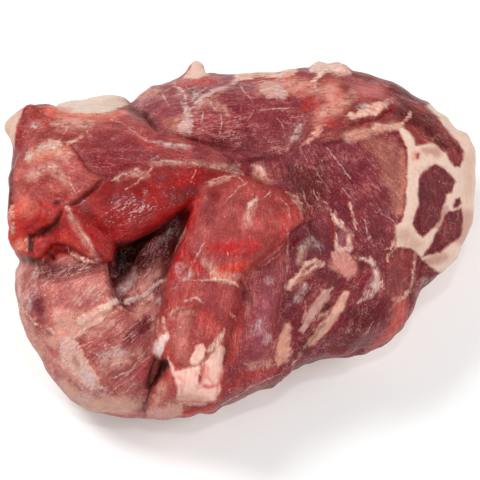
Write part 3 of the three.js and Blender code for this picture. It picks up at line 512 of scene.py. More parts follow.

# Seams, where one muscle folds over another: depth in millimetres, painted shade from 0 to 1, chain of discs.
SEAMS = {
    "plate_step": (0.9, 0.4, [(72, 147, 0.7), (80, 158, 1), (88, 168, 1.1), (93, 173, 1), (104, 176, 0.8)]),
    "plate_foot": (1.2, 0.5, [(106, 178, 0.8), (97, 184, 1.1), (90, 192, 1.3), (77, 202, 1.1),
        (69, 206, 0.8)]),
    "flap_top": (1.2, 0.3, [(128, 106, 1.4), (136, 112, 1.6), (146, 117, 1.4), (156, 130, 1)]),
    "flap_top_right": (0.7, 0.0, [(156, 130, 1), (185, 139, 1), (210, 146, 1), (240, 161, 1)]),
    "left_edge": (0.6, 0.3, [(15, 152, 1.5), (10, 190, 2), (9, 205, 2)]),
    "tip_crevice": (2.2, 0.45, [(61, 212, 1.4), (58, 221, 2.2), (50, 228, 2.6), (40, 233, 2),
        (31, 237, 1.4)]),
    "curl_notch": (1.4, 0.5, [(29, 236, 1), (32, 242, 1.6), (31, 249, 1.2), (34, 254, 0.8)]),
    "curl_holes": (1.4, 0.7, [(47, 254, 1.6), (54, 258, 1.8)]),
    "lobe_edge": (0.8, 0.25, [(41, 200, 0.7), (42, 208, 0.8), (38, 220, 0.9), (27, 229, 0.8)]),
    "pocket_seam": (0.9, 0.7, [(184, 234, 0.8), (178, 248, 1), (170, 264, 1.1), (164, 278, 0.9)]),
    "pocket_left": (0.8, 0.5, [(116, 262, 1.4), (114, 276, 1.2), (115, 291, 1)]),
    "left_crease": (1.0, 0.35, [(48, 284, 0.7), (66, 279, 0.9), (80, 277, 1), (91, 274, 0.8),
        (105, 270, 0.8)]),
    "left_low": (0.6, 0.2, [(58, 366, 0.9), (68, 377, 1), (82, 391, 0.9)]),
    "crevice": (0.6, 0.6, [(166, 362, 2), (159, 374, 1.5), (151, 388, 0.9), (147, 400, 0.8),
        (145, 412, 0.7)]),
    "centre": (1.4, 0.5, [(242, 162, 1.2), (262, 160, 1.4), (282, 156, 1.1), (292, 148, 0.9)]),
    "centre_up": (0.8, 0.2, [(290, 150, 0.8), (297, 141, 0.8), (304, 130, 0.7)]),
    "gash": (1.6, 0.6, [(350, 125, 0.8), (365, 122, 1.4), (378, 118, 1.6), (390, 110, 1)]),
    "gash_pits": (1.2, 0.5, [(324, 144, 1.1), (333, 142, 1.4), (343, 141, 1)]),
    "tongue_edge": (1.0, 0.35, [(306, 223, 0.8), (292, 230, 1), (288, 241, 1), (280, 252, 1), (268, 260, 1),
        (256, 268, 1)]),
    "tongue_hole": (1.6, 0.7, [(240, 281, 1.6), (244, 289, 2), (242, 296, 1.4)]),
    "tongue_right": (0.8, 0.2, [(240, 302, 1), (230, 325, 1), (226, 345, 1.1), (224, 365, 1)]),
    "bottom_right": (0.8, 0.25, [(284, 286, 0.8), (280, 300, 1), (277, 318, 1.2), (273, 340, 1)]),
    "tongue_left": (0.9, 0.3, [(163, 290, 0.8), (161, 312, 0.9), (160, 330, 0.8)]),
    "oval_dark": (0.6, 0.25, [(386, 258, 0.7), (384, 274, 0.8), (387, 290, 0.7)]),
    "lower_dark": (0.8, 0.35, [(417, 262, 0.8), (413, 284, 0.9), (406, 300, 0.8)]),
    "lower_corner": (0.7, 0.4, [(424, 262, 0.8), (418, 276, 0.8), (413, 288, 0.6)]),
    "strand_dark": (0.6, 0.4, [(324, 326, 0.7), (312, 340, 0.8), (300, 356, 0.8), (292, 368, 0.6)]),
    "knob_fold": (0.7, 0.35, [(326, 72, 0.7), (336, 74, 0.7), (346, 72, 0.6)]),
    "under_fold": (0.8, 0.4, [(184, 406, 0.8), (204, 408, 0.8), (222, 402, 0.7), (240, 392, 0.6)]),
    "tail_under": (0.8, 0.45, [(64, 250, 0.8), (76, 261, 1), (92, 265, 1), (104, 264, 0.8)]),
}

# Lips: lines where the surface on one side stands higher, by so many millimetres, and sinks back over
# `reach` photo points. The higher side is on the left of the chain's way, as the photo shows it.
LIPS = {
    "plate_step": (1.5, 16, [(102, 177), (93, 173), (80, 158), (71, 146)]),
    "plate_foot": (1.5, 14, [(66, 208), (76, 202), (88, 192), (95, 186), (106, 178)]),
    "flap_top": (0.9, 16, [(240, 163), (210, 148), (185, 141), (165, 136), (152, 127), (143, 116),
        (128, 109)]),
    "flap_ridge": (0.9, 12, [(140, 168), (160, 161), (200, 165), (243, 174)]),
    "flap_upper": (0.7, 12, [(128, 129), (141, 138), (165, 144), (206, 150)]),
    "tongue_step": (1.0, 14, [(186, 279), (204, 281), (228, 282), (240, 290)]),
    "tongue_side": (0.9, 10, [(188, 277), (197, 257), (210, 244)]),
    "tongue_edge": (1.4, 16, [(256, 269), (268, 261), (280, 253), (288, 242), (291, 231), (306, 223),
        (308, 212)]),
    "bottom_right": (0.9, 14, [(270, 364), (273, 340), (278, 318), (281, 295), (284, 276)]),
    "oval": (0.8, 14, [(163, 340), (166, 320), (178, 308), (192, 312), (196, 330), (192, 350)]),
    "foot": (0.8, 14, [(170, 362), (186, 366), (202, 362), (214, 350), (224, 344)]),
    "tail": (1.2, 10, [(100, 262), (84, 261), (66, 249)]),
    "tail_side": (0.9, 9, [(68, 207), (76, 226), (90, 247), (102, 260)]),
    "face_top": (0.8, 14, [(300, 141), (330, 143), (350, 138), (366, 131), (398, 130)]),
    "seam_arm": (0.5, 9, [(250, 76), (228, 87), (207, 102), (192, 120)]),
    "island": (0.6, 10, [(420, 240), (414, 222), (419, 190), (420, 172), (430, 163), (446, 167),
        (457, 184)]),
    "lower_spur": (0.8, 12, [(300, 332), (313, 308), (330, 286)]),
    "ball": (1.0, 9, [(44, 224), (46, 212), (40, 200), (24, 197)]),
    "lobe_d": (0.7, 12, [(358, 303), (376, 291), (379, 275), (370, 260)]),
}
# Low rises and dips along the outline: height in millimetres, reach in photo points, chain of places.
RISES = {
    "corner_left": (1.8, 6, [(6, 127)]),
    "flap_corner": (1.6, 8, [(28, 107)]),
    "flap_top": (1.3, 8, [(50, 105), (58, 105)]),
    "fringe": (1.9, 12, [(72, 105), (100, 98), (112, 97)]),
    "rim_left": (3.0, 9, [(142, 97), (152, 91)]),
    "spike": (2.9, 8, [(200, 61), (204, 71)]),
    "top_edge": (1.2, 8, [(290, 74), (304, 72)]),
    "knob_left": (-0.6, 6, [(309, 69)]),
    "knob": (2.6, 8, [(322, 65), (340, 62)]),
    "knob_top": (2.8, 6, [(341, 62)]),
    "shoulder": (-1.6, 9, [(356, 70), (380, 78)]),
    "rim": (1.9, 10, [(426, 105), (444, 117)]),
    "corner": (4.4, 9, [(467, 135), (475, 150)]),
    "rim_right": (1.2, 8, [(475, 162)]),
    "rim_foot": (1.2, 6, [(456, 257)]),
    "rim_low": (0.9, 12, [(471, 225), (455, 257), (428, 284)]),
    "lower_corner": (3.4, 11, [(412, 305), (403, 326)]),
    "lower_mid": (2.0, 10, [(386, 343), (376, 349)]),
    "lower_foot": (4.2, 10, [(360, 355), (348, 357)]),
    "lower_notch": (-0.9, 8, [(322, 360)]),
    "bottom_right": (6.4, 11, [(288, 378), (276, 384)]),
    "bottom_notch": (2.4, 6, [(298, 371)]),
    "bottom": (2.0, 14, [(254, 391), (234, 402)]),
    "bottom_foot": (4.4, 10, [(213, 412)]),
    "bottom_edge": (1.4, 8, [(190, 416)]),
    "low_middle": (1.2, 12, [(126, 416)]),
    "low_left": (2.7, 14, [(90, 408), (70, 397), (54, 374)]),
    "left_side": (2.5, 14, [(30, 334), (20, 303), (16, 284)]),
    "left_notch": (-4.4, 7, [(18, 262)]),
    "pocket_corner": (3.5, 9, [(121, 289), (130, 298)]),
    "crevice_foot": (1.5, 6, [(152, 388), (147, 408)]),
    "flap_left": (-1.8, 9, [(9, 190), (9, 206)]),
    "flap_left_top": (-1.4, 8, [(14, 147)]),
}
# Small ends that stand out from the outline and stay sharp.
POINTS_KEPT = {
    "corner": [(6, 127, 12), (14, 114, 12), (28, 104, 12)],
    "fringe": [(50, 106, 6), (90, 98, 10), (128, 100, 9)],
    "spike": [(180, 78, 8), (197, 62, 14), (210, 74, 6)],
    "knob": [(312, 68, 10), (330, 64, 12), (346, 68, 10)],
    "rim_corner": [(470, 142, 12)],
    "tip": [(12, 240, 10), (30, 262, 12), (52, 256, 10)],
    "foot": [(150, 414, 10), (180, 416, 10)],
}

# Silver skin: a thin bluish-white membrane over the muscle.
FILM = {
    "plate_spot": [(35, 126, 5), (40, 125, 4)],
    "flap_spot": [(52, 123, 4)],
    # Partly silver skin, partly a painted sheen on the flap.
    "flap_sheen": [(160, 144, 4), (185, 147, 4)],
    "flap_end": [(236, 168, 5)],
    "pocket_mesh": [(132, 280, 4), (124, 290, 5), (120, 299, 5)],
    # Partly silver skin, partly a painted sheen on the pocket's wall.
    "pocket_streaks": [(176, 222, 5), (164, 240, 6)],
    "pocket_end": [(159, 300, 5)],
    "left_white": [(85, 377, 6), (80, 372, 4)],
    "left_fibres": [(100, 358, 7), (122, 350, 7)],
    "left_low": [(80, 398, 6), (104, 392, 6)],
    "left_top": [(37, 270, 5), (28, 306, 7)],
    "left_cream": [(112, 302, 6)],
    "seam_silver": [(186, 104, 6), (180, 92, 6), (192, 110, 6)],
    "seam_arm": [(196, 104, 4), (212, 92, 3)],
    "net": [(196, 94, 7)],
    "top_silver": [(300, 127, 6), (290, 142, 5)],
    "top_patch": [(280, 96, 7), (280, 78, 5)],
    "right_silver": [(358, 109, 5), (366, 106, 4)],
    "lower_silver": [(424, 281, 5)],
    "lower_mid": [(340, 248, 4)],
    "under_tip": [(301, 247, 5), (311, 240, 5), (320, 249, 5)],
    "strip": [(328, 291, 3), (320, 303, 2.5)],
    "lower_left": [(298, 300, 6), (306, 290, 5)],
    "lobe_d": [(374, 284, 6), (366, 296, 5)],
    # Partly silver skin, partly a painted sheen on the bottom lobe.
    "bottom_sheen": [(255, 330, 6), (262, 318, 5), (266, 340, 7)],
    "bottom_top": [(268, 280, 6)],
    "tongue_silver": [(190, 274, 5), (182, 282, 5)],
    "centre": [(236, 165, 5)],
}
# Haze: thin cream and pink tissue that the muscle shows through.
HAZE = {
    "left_cream": [(62, 322, 9), (76, 322, 10), (92, 316, 9)],
    "left_second": [(70, 338, 8), (90, 330, 8), (110, 318, 7)],
    "left_white": [(52, 340, 9), (64, 352, 10), (76, 370, 11), (92, 386, 9)],
    "left_fibres": [(74, 298, 8), (94, 290, 8)],
    "left_stripes": [(96, 370, 8), (120, 362, 9), (138, 352, 7)],
    "left_edge": [(18, 265, 6), (19, 300, 7), (27, 330, 8), (42, 352, 9)],
    "left_foot": [(60, 384, 8), (92, 404, 10), (125, 408, 10)],
    "floor": [(158, 272, 4), (146, 286, 5), (132, 298, 6)],
    "beside_floor": [(150, 300, 8), (138, 314, 7)],
    "seam": [(180, 124, 9), (194, 110, 6), (210, 98, 5), (230, 84, 5)],
    "top": [(262, 88, 10), (285, 86, 12), (308, 86, 11), (330, 92, 10)],
    "top_left": [(140, 96, 6), (156, 90, 6)],
    "top_mid": [(214, 104, 7), (226, 112, 6)],
    "right": [(322, 112, 8), (340, 106, 9), (352, 96, 8)],
    "crescent": [(348, 138, 7), (368, 131, 7), (396, 126, 6)],
    "face_left": [(258, 172, 8), (268, 180, 6)],
    "lower_pink": [(336, 264, 8), (348, 268, 9), (356, 258, 5)],
    "lower_left": [(292, 284, 7), (306, 272, 7)],
    "under_tip": [(304, 246, 7), (300, 262, 6)],
    "strips": [(326, 296, 4), (312, 320, 4), (334, 310, 3)],
    "tangle": [(312, 340, 5)],
    "peach": [(286, 330, 8), (281, 352, 9)],
    "lobe_d": [(376, 268, 4), (378, 286, 4), (366, 298, 4)],
    "arc": [(400, 235, 8)],
    "island_top": [(424, 166, 5), (434, 161, 4)],
    "plate": [(30, 158, 8), (50, 146, 8), (66, 156, 8)],
    "plate_mid": [(30, 175, 8), (52, 165, 7), (66, 182, 6)],
    "fringe": [(60, 110, 5), (85, 115, 5), (112, 112, 5)],
    "flap_left": [(60, 124, 10), (88, 124, 8)],
    "flap_line": [(150, 163, 3), (190, 163, 3), (230, 168, 5)],
    "flap_end": [(236, 167, 6)],
    "roll_top": [(118, 178, 5), (134, 172, 5), (146, 176, 5)],
    "tongue_head": [(252, 204, 5), (246, 222, 8)],
    "tongue_tip": [(296, 202, 4), (303, 210, 4)],
    "tongue_top": [(212, 184, 4), (228, 178, 4)],
    "tongue_blush": [(205, 262, 6), (222, 278, 8), (238, 276, 6)],
    "tongue_low": [(172, 318, 4), (184, 312, 5), (194, 314, 3)],
    "foot": [(180, 376, 10), (212, 362, 9), (220, 340, 6)],
    "bottom": [(252, 366, 6), (270, 364, 6)],
    "crevice_lobe": [(164, 386, 7), (158, 400, 8)],
    "fringe_low": [(158, 406, 8), (188, 404, 6)],
    "tail": [(72, 218, 5), (84, 238, 5), (92, 254, 5)],
}
# Wet blood and juice, where the meat shines.
WET = {
    "roll": [(108, 212, 14), (135, 208, 20), (165, 198, 16), (190, 190, 10)],
    "roll_left": [(84, 205, 10)],
    "tongue": [(232, 250, 14), (256, 250, 14)],
    "tongue_left": [(186, 215, 8), (176, 255, 9), (178, 282, 9)],
    "curl": [(40, 248, 12), (56, 242, 10)],
    "pocket": [(168, 236, 10)],
    "bottom": [(258, 330, 8)],
    "tip": [(50, 214, 8)],
}

# Edges of the painted patches. The first three are in shares of a patch's largest radius, the others in
# photo points.
SOFT_EDGE = (-0.15, 0.75)
TINT_EDGE = (-0.2, 0.7)
FAT_TINT_EDGE = (-0.3, 0.8)
HOLLOW_EDGE = (-2, 3)
KEPT_EDGE = (-5, 4)
EVEN_EDGE = (-5, -1)
TINT_STRENGTH = 0.95
FAT_TINT_STRENGTH = 0.9
# A chain of one disc gets this length, so that it has a direction.
DISC_LENGTH = 0.1
# Where a drawn line's pull ends, and its half width at least and at most.
LINE_REACH = 4
LINE_WIDTHS = (0.2, 9)

# How muscle regions and pieces of fat blend: over how many points, and beyond which depths nothing changes.
BORDER = 2.5
BORDER_LIMITS = (-60, 15)
TONE_BORDER = 1.5
TONE_LIMITS = (-30, 8)
# Fibres are clear where a point is this much deeper in its own region than in the next.
CLEAR_EDGE = (3, 7)
# Keeps the fibre noise of one region apart from that of the next, in millimetres.
REGION_GAP = 50

# "Facing" is 1 where the surface looks at the camera, 0 where it is edge-on and -1 where it looks away.
# Each pair says where something starts and where it is full.
FRONT_SIDE = (-0.05, 0.2)
BACK_SIDE = (0.02, -0.22)
COARSE_SIDE = (-0.05, -0.3)
COARSE_LEAST = 0.01
DRAWN_OUT_SIDE = (0.3, -0.1)
RISING_SIDE = (-0.8, -0.3)
HIDDEN_FACING = -0.1
HOLLOW_FACING = 0.25
# What is hidden and what lies in a hollow is found with rays, those in a hollow up to this far, and
# smoothed over this many rounds.
HOLLOW_REACH = 50 * MILLIMETRE
HIDDEN_ROUNDS = 4
HOLLOW_ROUNDS = 6
SHARE_SMOOTHING = 0.5

# How far one noise seed is from the next in the noise.
SEED_STEPS = (7.3, 3.1, 5.7)
# Wobble of the strokes: reach in photo points, size of the lumps, and the noise seeds for u and v.
WOBBLE_SLOW = (1.5, 9 * MILLIMETRE, (1, 2))
WOBBLE_QUICK = (0.9, 3.5 * MILLIMETRE, (3, 4))
WOBBLE_DRAWN_OUT = (7, 16 * MILLIMETRE, (13, 14))

# Low relief: height in millimetres, size of the lumps, and noise seed. The ridges have their size along,
# across and below the fibres in millimetres too.
SWELLS = (0.7, 14 * MILLIMETRE, 5)
FRONT_SWELLS = (0.35, 6 * MILLIMETRE, 6)
FRONT_GRAIN = (0.25, 3 * MILLIMETRE, 12)
BACK_SWELLS = (0.9, 24 * MILLIMETRE, 8)
RIDGES = (0.28, 1, 7)
RIDGE_SIZE = np.array([16, 2.6, 8])
FAT_HEIGHT = 0.5
FAT_SLOPE = (-1.5, 2.5)
# A lip rises on the left of its chain and sinks on the right. Its slope is in photo points.
LIP_SLOPE = (-0.8, 1.4)
LIP_END = 0.2
SINK_DEPTH = 0.5
SINK_REACH = 4
# How wide a seam is cut, and how wide its painted shade is.
SEAM_WIDTH = 2.2
SEAM_SHADE = 6

# The fat cap on the sides that the camera doesn't see. Its depth is in photo points, as that of the painted
# fat. Its noises have a height, the size of the lumps and a seed.
FAT_LIMIT = 6
CAP_DEPTH = 9
CAP_START = 0.28
CAP_GROWTH = 2.2
CAP_RAGGED = 0.35
CAP_LUMPS = (1, 26 * MILLIMETRE, 9)
CAP_FINE_LUMPS = (0.5, 9 * MILLIMETRE, 10)
CAP_FILM = 0.25
CAP_MARBLING = 0.3
CAP_EVENNESS = 0.6
WINDOW_DEPTH = 1.5
WINDOWS = (1, 34 * MILLIMETRE, 15)
WINDOW_EDGE = (0.2, 0.5)
BLUSHES = (1, 30 * MILLIMETRE, 16)
FINE_BLUSHES = (0.5, 8 * MILLIMETRE, 17)
BLUSH_EDGE = (-0.1, 0.6)
# Wet meat shows less marbling.
WET_MARBLING = -0.3

# Colours as the eye sees them, in 0 to 255 screen values. SHEEN is what the gloss adds in the render.
BRIGHTNESS = 0.775
SHEEN = 0.02
DARKEST = 0.002
FAT_THIN = (200, 118, 108)
FAT_LIGHT = (244, 214, 202)
FAT_THREAD = (212, 146, 132)
FAT_CAP = (230, 196, 176)
CAP_BLUSH = (222, 160, 146)
CAP_MEAT = (170, 98, 92)
# Painted shade: the dark red of places that other meat covers or that lie in a hollow.
COVERED_SHADE_COLOUR = (112, 18, 24)
FILM_COLOUR = (214, 188, 184)
HAZE_COLOUR = (224, 170, 152)
LINE_COLOUR = (236, 190, 178)
BUNDLE_COLOUR = (206, 136, 128)
# The colour of the painted shade along the seams.
SEAM_SHADE_COLOUR = (84, 14, 20)
THREAD_COLOUR = (216, 146, 136)
RIDGE_COLOUR = (226, 170, 160)
# Painted highlights: the colour of the tiny white glints in the muscle.
PAINTED_GLINT_COLOUR = (250, 222, 214)
# What the muscle's colour is multiplied by, in red, green, blue and alpha.
FLESH = (0.94, 0.74, 0.78, 1.0)
PALER = (1.3, 1.32, 1.25, 1.0)
DEEPER = (0.78, 0.66, 0.8, 1.0)
REDDER = (1.12, 0.86, 0.76, 1.0)

# Noises of the material: scale, detail, roughness and distortion.
GRAIN = (600.0, 3.0, 0.65)
LUMPY = (190.0, 4.0, 0.65)
PATCHY = (110.0, 2.0, 0.5)
MOTTLE = (80.0, 4.0, 0.6)
BLOTCH = (30.0, 3.0, 0.55)
SPECK = (900.0, 1.0, 0.5)
GLINT = (1150.0, 1.0, 0.5)
STAIN = (90.0, 4.0, 0.65)
FAT_THREADS = (120.0, 3.0, 0.6, 0.8)
WAVER = (420.0, 2.0)
WET_FINE = (420.0, 1.0)
WET_WIDE = (160.0, 1.0)
# Noises along the fibres: lumps per millimetre along, across and below them, and the rest as above.
FINE = ((0.17, 1.0, 0.5), 3.0, 0.7, 0.3)
BUNDLE = ((0.06, 0.28, 0.2), 2.0, 0.5)
RIDGE = ((0.07, 0.55, 0.4), 2.0, 0.55, 0.6)
RIPPLES = ((0.22, 0.8, 0.5), 1.0)
# Bundles of fibres: their cells per millimetre, and how their borders are bent by a noise of their own.
BUNDLE_CELLS = (0.05, 0.23, 0.1)
BEND = {"Scale": 0.12, "Detail": 2.0}
BEND_REACH = (0.4, 0.4, 0.4)

# The surface: heights of its two bumps, and what else is set on the shader.
BUMP = {"Strength": 0.9, "Distance": 0.5 * MILLIMETRE}
WET_BUMP = {"Strength": 1.0, "Distance": 0.6 * MILLIMETRE}
FINISH = {
    "Coat Roughness": 0.06,
    "Coat IOR": 1.36,
    "Subsurface Weight": 0.1,
    "Subsurface Radius": (1.0, 0.4, 0.25),
    "Subsurface Scale": 1.2 * MILLIMETRE,
    "Specular IOR Level": 0.15,
}

# Studio: a pale floor, an even white surrounding, and soft lights with their place, width and power.
FLOOR_SIZE = 8
FLOOR_COLOUR = (0.9, 0.9, 0.9)
FLOOR_ROUGHNESS = 0.8
SURROUNDING = 0.3
LIGHT_AIM = Vector((0, 0, 0.04))
LIGHTS = {
    "key": ((-0.8, 0.45, 1.0), 0.6, 15),
    "fill": ((1.3, 0.0, 0.9), 0.9, 12),
    "front": ((-0.2, -1.2, 1.1), 0.8, 6),
    "glint": ((0.15, -0.3, 1.6), 0.1, 2.6),
    "glint_low": ((0.48, -0.8, 1.3), 0.08, 2.6),
}


def linear(colour):
    """A colour as the eye sees it, in 0 to 255 screen values, as Blender's linear values, less the
    surface's sheen."""
    c = np.array(colour) / 255
    c = np.where(c <= 0.04045, c / 12.92, ((c + 0.055) / 1.055) ** 2.4)
    return np.maximum(c * BRIGHTNESS - SHEEN, DARKEST)


def blended(base, colour, amount):
    """Linear colours `base` with `colour` over them, by an amount from 0 to 1 at each place."""
    return base + (linear(colour) - base) * amount[:, None]


def smoothstep(x, low, high):
    t = np.clip((x - low) / (high - low), 0, 1)
    return t * t * (3 - 2 * t)


def bell(gap, reach):
    """1 at a line, and almost 0 at twice `reach` from it."""
    return np.exp(-(gap / reach) ** 2)


def swell(places, height, size, seed):
    """Smooth noise from about -height to height at each place, with lumps of about `size`."""
    shift = Vector([step * seed for step in SEED_STEPS])
    return height * np.array([noise.noise(Vector(p) / size + shift) for p in places.tolist()])


# Mesh

def rows(items, field, width=3, kind=float):
    """One field of all vertices or edges of a mesh, a row for each."""
    values = np.empty(len(items) * width, dtype=kind)
    items.foreach_get(field, values)
    return values.reshape(-1, width)


def edge_ends(mesh):
    return rows(mesh.edges, "vertices", 2, np.int32)


def move_vertices(mesh, co):
    mesh.vertices.foreach_set("co", co.ravel())
    mesh.update()


def modified(obj, kind, **settings):
    """Adds a modifier to obj and applies it."""
    modifier = obj.modifiers.new(kind, kind)
    for name, value in settings.items():
        setattr(modifier, name, value)
    graph = bpy.context.evaluated_depsgraph_get()
    mesh = bpy.data.meshes.new_from_object(obj.evaluated_get(graph))
    obj.modifiers.clear()
    obj.data = mesh


def crease_tree(mesh):
    """The places along the solid's hollow sharp edges, where one muscle meets another."""
    bm = bmesh.new()
    bm.from_mesh(mesh)
    bmesh.ops.remove_doubles(bm, verts=bm.verts, dist=SAME_PLACE)
    spots = []
    for edge in bm.edges:
        if len(edge.link_faces) == 2 and edge.calc_face_angle_signed() < -SHARP_EDGE:
            a, b = (v.co for v in edge.verts)
            steps = max(1, round((b - a).length / MILLIMETRE))
            spots += [a.lerp(b, i / steps) for i in range(steps + 1)]
    bm.free()
    tree = KDTree(len(spots))
    for i, spot in enumerate(spots):
        tree.insert(spot, i)
    tree.balance()
    return tree


def smoothed(values, edges, share, rounds):
    """Each vertex's value moved towards its neighbours' mean, `rounds` times, by its own share."""
    a, b = edges.T
    count = len(values)
    degree = np.bincount(a, minlength=count) + np.bincount(b, minlength=count)
    flat = values.reshape(count, -1).copy()
    share = np.broadcast_to(share, count)[:, None]
    for _ in range(rounds):
        total = [np.bincount(a, flat[b, k], count) + np.bincount(b, flat[a, k], count)
                 for k in range(flat.shape[1])]
        flat += (np.stack(total, 1) / degree[:, None] - flat) * share
    return flat.reshape(values.shape)


def rounded(obj, creases):
    """Smooths the mesh, less along the creases and hardly at all at the ends that stay sharp."""
    co = rows(obj.data.vertices, "co")
    gap = np.array([creases.find(p)[2] for p in co.tolist()])
    share = SMOOTH_CREASE + (SMOOTH_OPEN - SMOOTH_CREASE) * smoothstep(gap, CREASE_HOLD, CREASE_FREE)
    kept = smoothstep(strokes_inside(photo_points(co), POINTS_KEPT), *KEPT_EDGE)
    share *= 1 - SMOOTH_KEPT * kept
    move_vertices(obj.data, smoothed(co, edge_ends(obj.data), share, SMOOTH_ROUNDS))


def thinned_out(obj):
    """Brings the mesh down to TRIANGLES, mostly on the side that the camera doesn't see."""
    unseen = smoothstep(rows(obj.data.vertices, "normal") @ OUT, *COARSE_SIDE)
    group = obj.vertex_groups.new(name="unseen")
    for i in np.flatnonzero(unseen > COARSE_LEAST).tolist():
        group.add([i], float(unseen[i]), "REPLACE")
    triangles = 2 * len(obj.data.polygons)
    modified(obj, "DECIMATE", ratio=min(1, TRIANGLES / triangles), vertex_group="unseen")
    obj.vertex_groups.clear()


def meat_object():
    """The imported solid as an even, rounded mesh that still has its creases."""
    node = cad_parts["pork_butt"]
    creases = crease_tree(node.data)
    obj = bpy.data.objects.new("pork_butt_meat", node.data.copy())
    bpy.context.scene.collection.objects.link(obj)
    modified(obj, "REMESH", mode="VOXEL", voxel_size=VOXEL, adaptivity=0)
    rounded(obj, creases)
    thinned_out(obj)
    co = rows(obj.data.vertices, "co")
    co[:, 2] = np.maximum(co[:, 2], 0)
    move_vertices(obj.data, co)
    return obj


# Photo points and strokes

def photo_points(co):
    """Where each place on the meat shows in the photo, in photo points."""
    from_camera = co - (CAMERA_AIM + OUT * CAMERA_DISTANCE)
    scale = LENS / SENSOR * FRAME_SIZE / -(from_camera @ OUT)
    u = FRAME_SIZE / 2 + scale * (from_camera @ ACROSS)
    v = FRAME_SIZE / 2 - scale * (from_camera @ UP)
    return np.stack([u, v], 1)


def wobble(co, reach, size, seeds):
    return np.stack([swell(co, reach, size, seed) for seed in seeds], 1)


def wobbled_points(co, facing):
    """Photo points, shifted by a little noise, so that no stroke is ruler-straight, and more so on the
    sides, where the strokes are drawn out."""
    side = smoothstep(facing, *DRAWN_OUT_SIDE)[:, None]
    wobbles = wobble(co, *WOBBLE_SLOW) + wobble(co, *WOBBLE_QUICK) + side * wobble(co, *WOBBLE_DRAWN_OUT)
    return photo_points(co) + wobbles


def lip_shape(points, chain, reach):
    """A lip, as a share of its height: up on the left of its chain, down on the right, gone at its ends."""
    ways = [math.dist(p, q) for p, q in zip(chain, chain[1:])]
    nearest = np.full(len(points), FAR)
    side = np.zeros(len(points))
    place = np.zeros(len(points))
    done = 0
    for (u0, v0), (u1, v1), way in zip(chain, chain[1:], ways):
        along = np.array([u1 - u0, v1 - v0]) / way
        offset = points - (u0, v0)
        t = np.clip(offset @ along, 0, way)
        gap = np.hypot(*(offset - t[:, None] * along).T)
        closer = gap < nearest
        nearest = np.where(closer, gap, nearest)
        side = np.where(closer, offset[:, 0] * along[1] - offset[:, 1] * along[0], side)
        place = np.where(closer, (done + t) / sum(ways), place)
        done += way
    rise = smoothstep(side, *LIP_SLOPE) * bell(nearest, reach)
    sink = SINK_DEPTH * smoothstep(-side, *LIP_SLOPE) * bell(nearest, SINK_REACH)
    return (rise - sink) * smoothstep(place, 0, LIP_END) * smoothstep(place, 1, 1 - LIP_END)


def chain_field(points, chain):
    """How far inside a chain of discs each point is, how far from its middle line, and on which side."""
    inside = np.full(len(points), -FAR)
    nearest = np.full(len(points), FAR)
    side = np.zeros(len(points))
    if len(chain) == 1:
        u, v, r = chain[0]
        chain = [(u, v, r), (u + DISC_LENGTH, v, r)]
    for (u0, v0, r0), (u1, v1, r1) in zip(chain, chain[1:]):
        along = np.array([u1 - u0, v1 - v0])
        length = np.hypot(*along)
        offset = points - (u0, v0)
        t = np.clip(offset @ along / length ** 2, 0, 1)
        gap = np.hypot(*(offset - t[:, None] * along).T)
        across = (offset[:, 0] * along[1] - offset[:, 1] * along[0]) / length
        closer = gap < nearest
        nearest = np.where(closer, gap, nearest)
        side = np.where(closer, across, side)
        inside = np.maximum(inside, r0 + (r1 - r0) * t - gap)
    return inside, nearest, side


def line_distance(points, chain):
    """How far each point is from a chain of discs or places."""
    return chain_field(points, [(u, v, 0) for u, v, *_ in chain])[1]


def strokes_inside(points, strokes):
    """How far inside the nearest of these strokes each point is."""
    return np.max([chain_field(points, chain)[0] for chain in strokes.values()], axis=0)


def patch_amount(points, chain, edge):
    """From 0 to 1: how much of a soft patch each point has."""
    radius = max(r for _, _, r in chain)
    return smoothstep(chain_field(points, chain)[0], edge[0] * radius, edge[1] * radius)


def soft_amount(points, strokes):
    """From 0 to 1: how much each point has of the strongest of these soft patches."""
    return np.max([patch_amount(points, chain, SOFT_EDGE) for chain in strokes.values()], axis=0)


def line_field(points, chains):
    """For thin lines: the distance across the nearest one, its half width, and how near it is, up to 1."""
    nearest = np.full(len(points), FAR)
    side = np.full(len(points), FAR)
    width = np.ones(len(points))
    for chain in chains:
        inside, gap, across = chain_field(points, chain)
        closer = gap < nearest
        nearest = np.where(closer, gap, nearest)
        side = np.where(closer, across, side)
        width = np.where(closer, np.clip(inside + gap, *LINE_WIDTHS), width)
    return side, width, np.clip(1 - nearest / LINE_REACH, 0, 1)


def outline_inside(points, outline):
    """How far inside an outline each point is, in photo points, and negative outside."""
    inside = np.zeros(len(points), dtype=bool)
    nearest = np.full(len(points), FAR)
    for (u0, v0), (u1, v1) in zip(outline, outline[1:] + outline[:1]):
        along = np.array([u1 - u0, v1 - v0])
        offset = points - (u0, v0)
        t = np.clip(offset @ along / (along @ along), 0, 1)
        nearest = np.minimum(nearest, np.hypot(*(offset - t[:, None] * along).T))
        if v0 != v1:
            crosses = (points[:, 1] < v0) != (points[:, 1] < v1)
            left = points[:, 0] < u0 + (points[:, 1] - v0) * (u1 - u0) / (v1 - v0)
            inside ^= crosses & left
    return np.where(inside, nearest, -nearest)


def areas_inside(points, outlines):
    """How far inside the nearest of these outlines each point is."""
    return np.max([outline_inside(points, outline) for outline in outlines.values()], axis=0)


def nearness(insides, border, limits):
    """How much each of several areas counts at each point, as shares that blend over `border` points."""
    weights = np.exp(np.clip(insides, *limits) / border)
    return weights / weights.sum(0)


# Fields of muscle and fat

def fibre_places(points, depth, region):
    """The place along, across and below a region's fibres in millimetres."""
    offset = points - region["towards"]
    radius = np.hypot(*offset.T)
    turn = np.arctan2(offset[:, 1], offset[:, 0])
    round_it = np.unwrap(turn - np.median(turn)) * np.median(radius)
    along, across = (round_it, radius) if region.get("rings") else (radius, round_it)
    return np.stack([along * POINT_SIZE, across * POINT_SIZE, depth / MILLIMETRE], 1)


